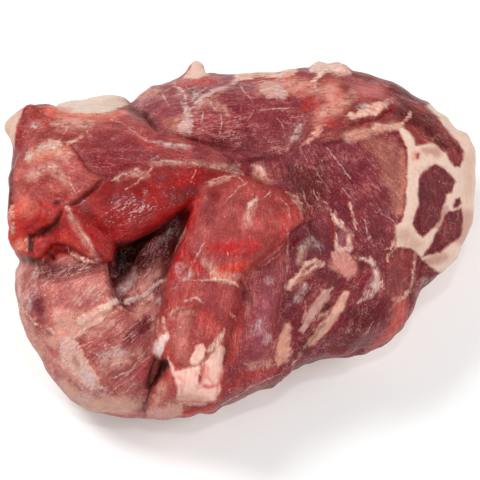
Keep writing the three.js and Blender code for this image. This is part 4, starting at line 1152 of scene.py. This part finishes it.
def region_fields(points, depth):
    """Each point's muscle colour and marbling, blended near borders, its place along, across and below the
    fibres in millimetres, and from 0 to 1 how clear the fibres' way is, which is 0 at a border."""
    insides = np.stack([outline_inside(points, region["outline"]) for region in REGIONS.values()])
    weights = nearness(insides, BORDER, BORDER_LIMITS)
    colours = np.array([linear(region["colour"]) for region in REGIONS.values()])
    marbling = np.array([region["marbling"] for region in REGIONS.values()])
    best = insides.argmax(0)
    fibre = np.zeros((len(points), 3))
    for i, region in enumerate(REGIONS.values()):
        mine = best == i
        if mine.any():
            fibre[mine] = fibre_places(points[mine], depth[mine], region) + (0, 0, REGION_GAP * i)
    first, second = np.sort(insides, axis=0)[-1:-3:-1]
    return weights.T @ colours, weights.T @ marbling, fibre, smoothstep(first - second, *CLEAR_EDGE)


def fat_field(points):
    """How far inside the painted fat each point is."""
    fat = np.maximum(areas_inside(points, FAT_AREAS), strokes_inside(points, FAT))
    return np.minimum(fat, -areas_inside(points, ISLANDS))


def fat_colours(points):
    """The colour that fat has at each point: that of the nearest piece of fat, with soft patches on it."""
    insides = [outline_inside(points, outline) for outline in FAT_AREAS.values()]
    insides += [chain_field(points, chain)[0] for chain in FAT.values()]
    tones = np.array([linear(FAT_TONES.get(name, CREAM)) for name in (*FAT_AREAS, *FAT)])
    tint = nearness(np.stack(insides), TONE_BORDER, TONE_LIMITS).T @ tones
    for colour, chain in FAT_TINTS.values():
        tint = blended(tint, colour, FAT_TINT_STRENGTH * patch_amount(points, chain, FAT_TINT_EDGE))
    return tint


# Relief

def carve(obj):
    """Moves the surface in at its seams and out at its fat, and gives it low lumps and fibre ridges."""
    mesh = obj.data
    co = rows(mesh.vertices, "co")
    normals = rows(mesh.vertices, "normal")
    facing = normals @ OUT
    points = wobbled_points(co, facing)
    front = smoothstep(facing, *FRONT_SIDE)
    _, _, fibre, clear = region_fields(points, co @ OUT)
    in_front = swell(co, *FRONT_SWELLS) + swell(co, *FRONT_GRAIN)
    in_front += clear * swell(fibre / RIDGE_SIZE, *RIDGES)
    in_front += FAT_HEIGHT * smoothstep(fat_field(points), *FAT_SLOPE)
    for depth, _, chain in SEAMS.values():
        in_front -= depth * bell(line_distance(points, chain), SEAM_WIDTH)
    for height, reach, chain in LIPS.values():
        in_front += height * lip_shape(points, chain, reach)
    move = swell(co, *SWELLS) + front * in_front + (1 - front) * swell(co, *BACK_SWELLS)
    for height, reach, chain in RISES.values():
        move += height * smoothstep(facing, *RISING_SIDE) * bell(line_distance(points, chain), reach)
    move_vertices(mesh, co + normals * (move * MILLIMETRE)[:, None])


# Paint

def hidden_shares(mesh, co, normals):
    """From 0 to 1: how far other meat covers each place, and how far a place that looks away from the
    camera faces other meat, as inside the pocket."""
    tree = BVHTree.FromPolygons(co.tolist(), [tuple(p.vertices) for p in mesh.polygons])
    edges = edge_ends(mesh)
    eye = Vector(CAMERA_AIM + OUT * CAMERA_DISTANCE)
    facing = normals @ OUT
    starts = co + normals * MILLIMETRE
    hidden = np.zeros(len(co))
    for i in np.flatnonzero(facing > HIDDEN_FACING).tolist():
        start = Vector(starts[i])
        hidden[i] = tree.ray_cast(start, (eye - start).normalized())[0] is not None
    hollow = np.zeros(len(co))
    for i in np.flatnonzero(facing < HOLLOW_FACING).tolist():
        hollow[i] = tree.ray_cast(Vector(starts[i]), Vector(normals[i]), HOLLOW_REACH)[0] is not None
    hidden = smoothed(hidden, edges, SHARE_SMOOTHING, HIDDEN_ROUNDS)
    hollow = smoothed(hollow, edges, SHARE_SMOOTHING, HOLLOW_ROUNDS)
    covered = np.maximum(hidden * (facing > 0), hollow * (facing < HOLLOW_FACING))
    return covered, hollow


def painted_muscle(points, tint, covered, behind):
    """The regions' tint with its patches, painted shade where it is covered, and the cap's meat colour
    behind.
    """
    for colour, chain in TINTS.values():
        tint = blended(tint, colour, TINT_STRENGTH * patch_amount(points, chain, TINT_EDGE))
    # Painted shade where other meat covers the surface.
    tint = blended(tint, COVERED_SHADE_COLOUR, covered)
    # Painted shade in the hollows.
    for colour, chain in HOLLOW_SHADES.values():
        tint = blended(tint, colour, smoothstep(chain_field(points, chain)[0], *HOLLOW_EDGE))
    return blended(tint, CAP_MEAT, behind)


def fat_inside(points, co, facing, covered, behind):
    """How far inside the fat each place is: the painted fat in front, the cap with its windows behind."""
    fat = np.where(covered > 0.5, -FAT_LIMIT, np.clip(fat_field(points), -FAT_LIMIT, FAT_LIMIT))
    spread = swell(co, *CAP_LUMPS) + swell(co, *CAP_FINE_LUMPS)
    window = smoothstep(swell(co, *WINDOWS), *WINDOW_EDGE)
    cap = CAP_DEPTH * (CAP_START - CAP_GROWTH * facing + CAP_RAGGED * spread - WINDOW_DEPTH * window)
    return fat * (1 - behind) + np.clip(cap, -FAT_LIMIT, FAT_LIMIT) * behind


def painted_fat(points, co, behind):
    """The fat's colour: that of its pieces in front, and the cap's, with a blush here and there, behind."""
    blush = smoothstep(swell(co, *BLUSHES) + swell(co, *FINE_BLUSHES), *BLUSH_EDGE)
    cap_tint = blended(linear(FAT_CAP), CAP_BLUSH, blush)
    tint = fat_colours(points)
    return tint + (cap_tint - tint) * behind[:, None]


# Painted shade along the seams: how dark each point is painted.
def painted_seam_shade(points):
    shades = [dark * bell(line_distance(points, chain), SEAM_SHADE) for _, dark, chain in SEAMS.values()]
    return np.max(shades, axis=0)


def evenness(points, behind):
    """From 0, where the fat is ragged and mottled, to 1, where it is smooth and even."""
    shares = [share * smoothstep(outline_inside(points, FAT_AREAS[name]), *EVEN_EDGE)
              for name, share in SMOOTH_FAT.items()]
    return np.max([CAP_EVENNESS * behind, *shares], axis=0)


def store(mesh, name, *values):
    """Writes one value, or three, for each vertex, as an attribute that the material reads by its name."""
    kind, field = ("FLOAT", "value") if len(values) == 1 else ("FLOAT_VECTOR", "vector")
    attribute = mesh.attributes.new(name, kind, "POINT")
    attribute.data.foreach_set(field, np.stack(values, 1).astype(np.float32).ravel())


def paint(obj):
    """Writes onto the mesh what the material reads."""
    mesh = obj.data
    co = rows(mesh.vertices, "co")
    normals = rows(mesh.vertices, "normal")
    facing = normals @ OUT
    points = wobbled_points(co, facing)
    covered, hollow = hidden_shares(mesh, co, normals)
    behind = smoothstep(facing, *BACK_SIDE) * (1 - hollow)
    front = (1 - behind) * (1 - covered)

    tint, marbling, fibre, clear = region_fields(points, co @ OUT)
    wet = soft_amount(points, WET)
    film = np.maximum(soft_amount(points, FILM) * front, CAP_FILM * behind)
    marbling = (marbling + WET_MARBLING * wet) * front + CAP_MARBLING * behind
    store(mesh, "tint", *painted_muscle(points, tint, covered, behind).T)
    store(mesh, "fat_tint", *painted_fat(points, co, behind).T)
    store(mesh, "fibre", *fibre.T)
    store(mesh, "layers", fat_inside(points, co, facing, covered, behind), film, wet * front)
    store(mesh, "shares", marbling, soft_amount(points, HAZE) * front, painted_seam_shade(points) * front)
    store(mesh, "clear", clear)
    store(mesh, "even", evenness(points, behind))
    for name, chains in {"lines": LINES.values(), "seams": [chain for _, _, chain in SEAMS.values()]}.items():
        side, width, near = line_field(points, chains)
        store(mesh, name, side, width, near * front)
    mesh.shade_smooth()


# Material

# A noise has values of about 0.3 to 0.7. In n.step, the first two numbers say where a value starts to count
# and where it counts in full. In n.total, each number is the weight of the value before it.
class Nodes:
    """Short names for the shader nodes that the meat is built from."""

    def __init__(self, tree):
        self.tree = tree

    def put(self, value, socket):
        """Gives a node's input another node's output, or a plain value."""
        if hasattr(value, "links"):
            self.tree.links.new(value, socket)
        else:
            socket.default_value = value

    def add(self, kind, values=(), **settings):
        node = self.tree.nodes.new(kind)
        for name, value in settings.items():
            setattr(node, name, value)
        for key, value in dict(values).items():
            self.put(value, node.inputs[key])
        return node

    def attribute(self, name, output):
        return self.add("ShaderNodeAttribute", attribute_name=name).outputs[output]

    def three(self, name):
        """The three parts of an attribute that holds three values."""
        return self.add("ShaderNodeSeparateXYZ", {0: self.attribute(name, "Vector")}).outputs

    def calc(self, operation, a, b=0.0, c=0.0):
        return self.add("ShaderNodeMath", {0: a, 1: b, 2: c}, operation=operation).outputs[0]

    def product(self, a, b):
        return self.calc("MULTIPLY", a, b)

    def total(self, *terms):
        """The sum of value times weight over all the terms. A plain 1.0 as value adds the weight itself."""
        result = sum(weight for value, weight in terms if value == 1.0)
        for value, weight in terms:
            if value != 1.0:
                result = self.calc("MULTIPLY_ADD", value, weight, result)
        return result

    def off_middle(self, value):
        """How far a noise is from 0.5, its middle, so that a low limit on it draws thin lines."""
        return self.calc("ABSOLUTE", self.total((value, 1.0), (1.0, -0.5)))

    def scaled(self, vector, scale):
        return self.add("ShaderNodeVectorMath", {0: vector, 1: scale}, operation="MULTIPLY").outputs[0]

    def noise(self, vector, scale, detail=2.0, roughness=0.5, distortion=0.0):
        values = {"Vector": vector, "Scale": scale, "Detail": detail, "Roughness": roughness,
                  "Distortion": distortion}
        return self.add("ShaderNodeTexNoise", values).outputs[0]

    def fibre_noise(self, fibre, stretch, *settings):
        return self.noise(self.scaled(fibre, stretch), 1.0, *settings)

    def blend(self, share, a, b):
        """A plain value that goes from a to b as share goes from 0 to 1."""
        return self.add("ShaderNodeMix", {0: share, 2: a, 3: b}, data_type="FLOAT").outputs[0]

    def step(self, value, low, high, start=0.0, end=1.0):
        """A plain value that goes softly from start to end as value goes from low to high."""
        values = {"Value": value, "From Min": low, "From Max": high, "To Min": start, "To Max": end}
        return self.add("ShaderNodeMapRange", values, interpolation_type="SMOOTHSTEP").outputs[0]

    def mix(self, share, a, b, way="MIX"):
        """A colour that goes from a to b as share goes from 0 to 1."""
        node = self.add("ShaderNodeMix", data_type="RGBA", blend_type=way)
        for key, value in ((0, share), (6, a), (7, b)):
            self.put(value, node.inputs[key])
        return node.outputs[2]

    def times(self, a, b):
        """Two colours multiplied."""
        return self.mix(1.0, a, b, "MULTIPLY")

    def grey(self, value):
        """One brightness as a colour."""
        return self.add("ShaderNodeCombineColor", {0: value, 1: value, 2: value}).outputs[0]


def shade_of(colour):
    return (*linear(colour).tolist(), 1.0)


def shared_noises(n, place, fibre):
    """The noises that more than one part of the surface uses. Fibres give way to grain where their way
    isn't clear."""
    clear = n.attribute("clear", "Fac")
    grain = n.noise(place, *GRAIN)
    return SimpleNamespace(
        grain=grain,
        fine=n.blend(clear, grain, n.fibre_noise(fibre, *FINE)),
        bundle=n.blend(clear, 0.5, n.fibre_noise(fibre, *BUNDLE)),
        lumpy=n.noise(place, *LUMPY),
        patchy=n.noise(place, *PATCHY),
        mottle=n.noise(place, *MOTTLE),
        blotch=n.noise(place, *BLOTCH),
        speck=n.noise(place, *SPECK),
    )


def plain_muscle(n, s, tint):
    """The region's tint, streaked along the fibres, with paler and deeper places."""
    streak = n.total((s.fine, 1.0), (s.bundle, 0.5), (s.grain, 0.95), (s.mottle, 0.5), (s.speck, 0.65),
                     (1.0, -0.8))
    muscle = n.times(n.times(tint, FLESH), n.grey(streak))
    paler = n.step(n.total((s.mottle, 0.6), (s.blotch, 0.4)), 0.48, 0.66, 0.0, 0.8)
    muscle = n.mix(paler, muscle, n.times(muscle, PALER))
    deeper = n.step(n.total((s.mottle, 0.5), (s.blotch, 0.5)), 0.5, 0.34, 0.0, 0.8)
    return n.mix(deeper, muscle, n.times(muscle, DEEPER))


def bundle_edges(n, s, fibre):
    """Thin bent borders between bundles of fibres."""
    bend = n.add("ShaderNodeTexNoise", {"Vector": fibre, **BEND}).outputs["Color"]
    shifted = {0: n.scaled(fibre, BUNDLE_CELLS), 1: n.scaled(bend, BEND_REACH)}
    bent = n.add("ShaderNodeVectorMath", shifted, operation="ADD").outputs[0]
    cells = n.add("ShaderNodeTexVoronoi", {"Vector": bent, "Scale": 1.0}, feature="DISTANCE_TO_EDGE")
    return n.product(n.step(cells.outputs[0], 0.045, 0.0), n.step(s.blotch, 0.42, 0.6, 0.1, 1.0))


def muscle_colour(n, s, place, tint, fibre, marbling):
    """The muscle, crossed by pale threads, specks, ridges, painted glint highlights and the edges of its
    bundles.
    """
    threads = n.step(n.total((s.bundle, 0.6), (s.mottle, 0.4)), 0.44, 0.6)
    threads = n.product(n.step(s.fine, 0.54, 0.72), threads)
    specks = n.product(n.step(s.speck, 0.57, 0.72), n.step(s.mottle, 0.4, 0.6, 0.3, 1.0))
    ridges = n.step(n.off_middle(n.fibre_noise(fibre, *RIDGE)), 0.05, 0.008)
    ridges = n.product(ridges, n.step(n.total((s.mottle, 0.4), (s.bundle, 0.3), (s.lumpy, 0.3)), 0.46, 0.58))
    # Glints: painted highlights, tiny white dots in the muscle's colour.
    glints = n.step(n.noise(place, *GLINT), 0.68, 0.73)
    glints = n.product(glints, n.step(n.total((s.mottle, 0.5), (s.lumpy, 0.5)), 0.44, 0.6, 0.1, 1.0))
    muscle = plain_muscle(n, s, tint)
    # Each: where it shows, how much marbling adds to it, how much it has without marbling, and its colour.
    for shown, more, least, colour in (
            (threads, 0.5, 0.14, THREAD_COLOUR),
            (specks, 0.3, 0.14, THREAD_COLOUR),
            (ridges, 0.8, 0.08, RIDGE_COLOUR),
            (glints, 0.5, 0.4, PAINTED_GLINT_COLOUR),
            (bundle_edges(n, s, fibre), 0.4, 0.04, BUNDLE_COLOUR)):
        share = n.product(shown, n.total((marbling, more), (1.0, least)))
        muscle = n.mix(share, muscle, shade_of(colour))
    return muscle


def fat_colour(n, s, place, fat_tint, depth, even):
    """Its own colour where the fat is thick, pinker where it is thin or stained, and a few threads."""
    rough = n.total((even, -0.7), (1.0, 1.0))
    stain = n.product(n.step(n.noise(place, *STAIN), 0.48, 0.72, 0.0, 0.6), rough)
    stained = n.mix(0.5, fat_tint, shade_of(FAT_THIN))
    fat = n.mix(n.calc("MAXIMUM", stain, n.step(depth, 2.2, -1.2)), fat_tint, stained)
    # Each: where it shows, and its colour.
    for shown, colour in (
            (n.step(s.fine, 0.52, 0.36, 0.0, 0.5), FAT_THIN),
            (n.step(s.fine, 0.5, 0.66, 0.0, 0.55), FAT_LIGHT),
            (n.step(n.off_middle(n.noise(place, *FAT_THREADS)), 0.03, 0.0, 0.0, 0.35), FAT_THREAD)):
        fat = n.mix(n.product(shown, rough), fat, shade_of(colour))
    mottle = n.product(n.total((s.lumpy, 0.55), (s.grain, 0.35), (1.0, -0.45)), rough)
    return n.times(fat, n.grey(n.total((mottle, 1.0), (1.0, 1.1))))


def with_haze(n, s, surface, haze):
    """Pink and cream haze, that the muscle shows through."""
    streaky = n.total((s.fine, 0.35), (s.lumpy, 0.55), (s.bundle, 0.15), (s.grain, 0.25))
    return n.mix(n.product(haze, n.step(streaky, 0.52, 0.8, 0.08, 0.95)), surface, shade_of(HAZE_COLOUR))


def with_fat(n, s, place, surface, inside):
    """Fat with a ragged edge and a redder rim of muscle round it. Also how much fat there is."""
    even = n.attribute("even", "Fac")
    ragged = n.total((s.fine, 6.0), (s.lumpy, 6.0), (s.patchy, 2.0), (1.0, -7.0))
    depth = n.calc("ADD", inside, n.product(ragged, n.total((even, -0.62), (1.0, 1.0))))
    surface = n.mix(n.step(depth, -4.5, -1.5, 0.0, 0.6), surface, n.times(surface, REDDER))
    fat_share = n.step(depth, -1.7, 1.3)
    thin_cover = n.step(n.total((s.lumpy, 0.5), (s.patchy, 0.3), (s.fine, 0.2)), 0.36, 0.54, 0.45, 1.0)
    thick_cover = n.step(depth, 2.0, 4.5)
    cover = n.product(fat_share, n.calc("MAXIMUM", n.calc("MAXIMUM", thin_cover, even), thick_cover))
    fat = fat_colour(n, s, place, n.attribute("fat_tint", "Color"), depth, even)
    return n.mix(cover, surface, fat), fat_share


def with_film(n, s, surface, film):
    """Silver skin, in patches that thin out."""
    share = n.product(film, n.step(n.total((s.lumpy, 0.6), (s.fine, 0.5)), 0.45, 0.7, 0.0, 0.75))
    return n.mix(share, surface, shade_of(FILM_COLOUR))


def drawn_lines(n, name, waver, spread):
    """How strongly one attribute's lines show: full in the middle, gone at `spread` half widths."""
    side, width, near = n.three(name)
    gap = n.calc("ABSOLUTE", n.calc("ADD", side, waver))
    share = n.step(n.calc("DIVIDE", gap, width), spread, 0.2)
    return n.product(share, n.step(near, 0.2, 0.7))


def meat_material():
    material = bpy.data.materials.new("raw_pork")
    material.use_nodes = True
    n = Nodes(material.node_tree)
    shader = material.node_tree.nodes["Principled BSDF"].inputs
    place = n.add("ShaderNodeTexCoord").outputs["Object"]
    fibre = n.attribute("fibre", "Vector")
    inside_fat, film, wet = n.three("layers")
    marbling, haze, seam_shade_strength = n.three("shares")
    s = shared_noises(n, place, fibre)

    surface = muscle_colour(n, s, place, n.attribute("tint", "Color"), fibre, marbling)
    surface = with_haze(n, s, surface, haze)
    surface, fat_share = with_fat(n, s, place, surface, inside_fat)
    surface = with_film(n, s, surface, film)
    waver = n.total((n.noise(place, *WAVER), 2.2), (1.0, -1.1))
    broken = n.step(n.total((s.lumpy, 0.6), (s.grain, 0.4)), 0.44, 0.6, 0.1, 0.8)
    line_share = n.product(drawn_lines(n, "lines", waver, 2.0), broken)
    surface = n.mix(line_share, surface, shade_of(LINE_COLOUR))
    # Painted shade along the seams.
    seam_share = n.product(drawn_lines(n, "seams", waver, 2.2), seam_shade_strength)
    n.put(n.mix(seam_share, surface, shade_of(SEAM_SHADE_COLOUR)), shader["Base Color"])

    height = n.total((s.fine, 1.1), (s.bundle, 1.0), (s.grain, 0.45), (fat_share, 0.6), (s.lumpy, 1.1),
                     (line_share, 0.4))
    ripples = n.fibre_noise(fibre, *RIPPLES)
    wet_height = n.total((n.noise(place, *WET_FINE), 0.8), (ripples, 1.0), (n.noise(place, *WET_WIDE), 0.8))
    n.put(n.add("ShaderNodeBump", {"Height": height, **BUMP}).outputs[0], shader["Normal"])
    n.put(n.add("ShaderNodeBump", {"Height": wet_height, **WET_BUMP}).outputs[0], shader["Coat Normal"])
    n.put(n.total((fat_share, 0.06), (s.grain, 0.3), (1.0, 0.28)), shader["Roughness"])
    n.put(n.total((wet, 0.85), (1.0, 0.12)), shader["Coat Weight"])
    for name, value in FINISH.items():
        n.put(value, shader[name])
    return material


# Studio

def add_floor():
    bpy.ops.mesh.primitive_plane_add(size=FLOOR_SIZE, location=(0, 0, 0))
    floor = bpy.context.object
    floor.name = "floor"
    material = bpy.data.materials.new("floor")
    material.use_nodes = True
    shader = material.node_tree.nodes["Principled BSDF"].inputs
    shader["Base Color"].default_value = (*FLOOR_COLOUR, 1)
    shader["Roughness"].default_value = FLOOR_ROUGHNESS
    floor.data.materials.append(material)


def add_camera():
    camera = bpy.data.objects.new("camera", bpy.data.cameras.new("camera"))
    bpy.context.scene.collection.objects.link(camera)
    camera.data.lens = LENS
    camera.data.sensor_width = SENSOR
    camera.data.clip_end = FARTHEST_SEEN
    turn = Matrix((ACROSS, UP, OUT)).transposed()
    camera.matrix_world = Matrix.Translation(CAMERA_AIM + OUT * CAMERA_DISTANCE) @ turn.to_4x4()
    bpy.context.scene.camera = camera


def add_light(name, place, size, power):
    light = bpy.data.lights.new(name, "AREA")
    light.energy = power
    light.size = size
    lamp = bpy.data.objects.new(name, light)
    bpy.context.scene.collection.objects.link(lamp)
    lamp.location = place
    lamp.rotation_mode = "QUATERNION"
    lamp.rotation_quaternion = (LIGHT_AIM - Vector(place)).to_track_quat("-Z", "Y")


def add_surrounding():
    world = bpy.data.worlds.new("studio")
    bpy.context.scene.world = world
    world.use_nodes = True
    background = world.node_tree.nodes["Background"]
    background.inputs["Color"].default_value = (1, 1, 1, 1)
    background.inputs["Strength"].default_value = SURROUNDING


meat = meat_object()
carve(meat)
paint(meat)
meat.data.materials.clear()
meat.data.materials.append(meat_material())
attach(meat, "root")
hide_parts("pork_butt")

add_floor()
add_camera()
add_surrounding()
for name, (place, size, power) in LIGHTS.items():
    add_light(name, place, size, power)
bpy.context.scene.view_settings.view_transform = "Standard"
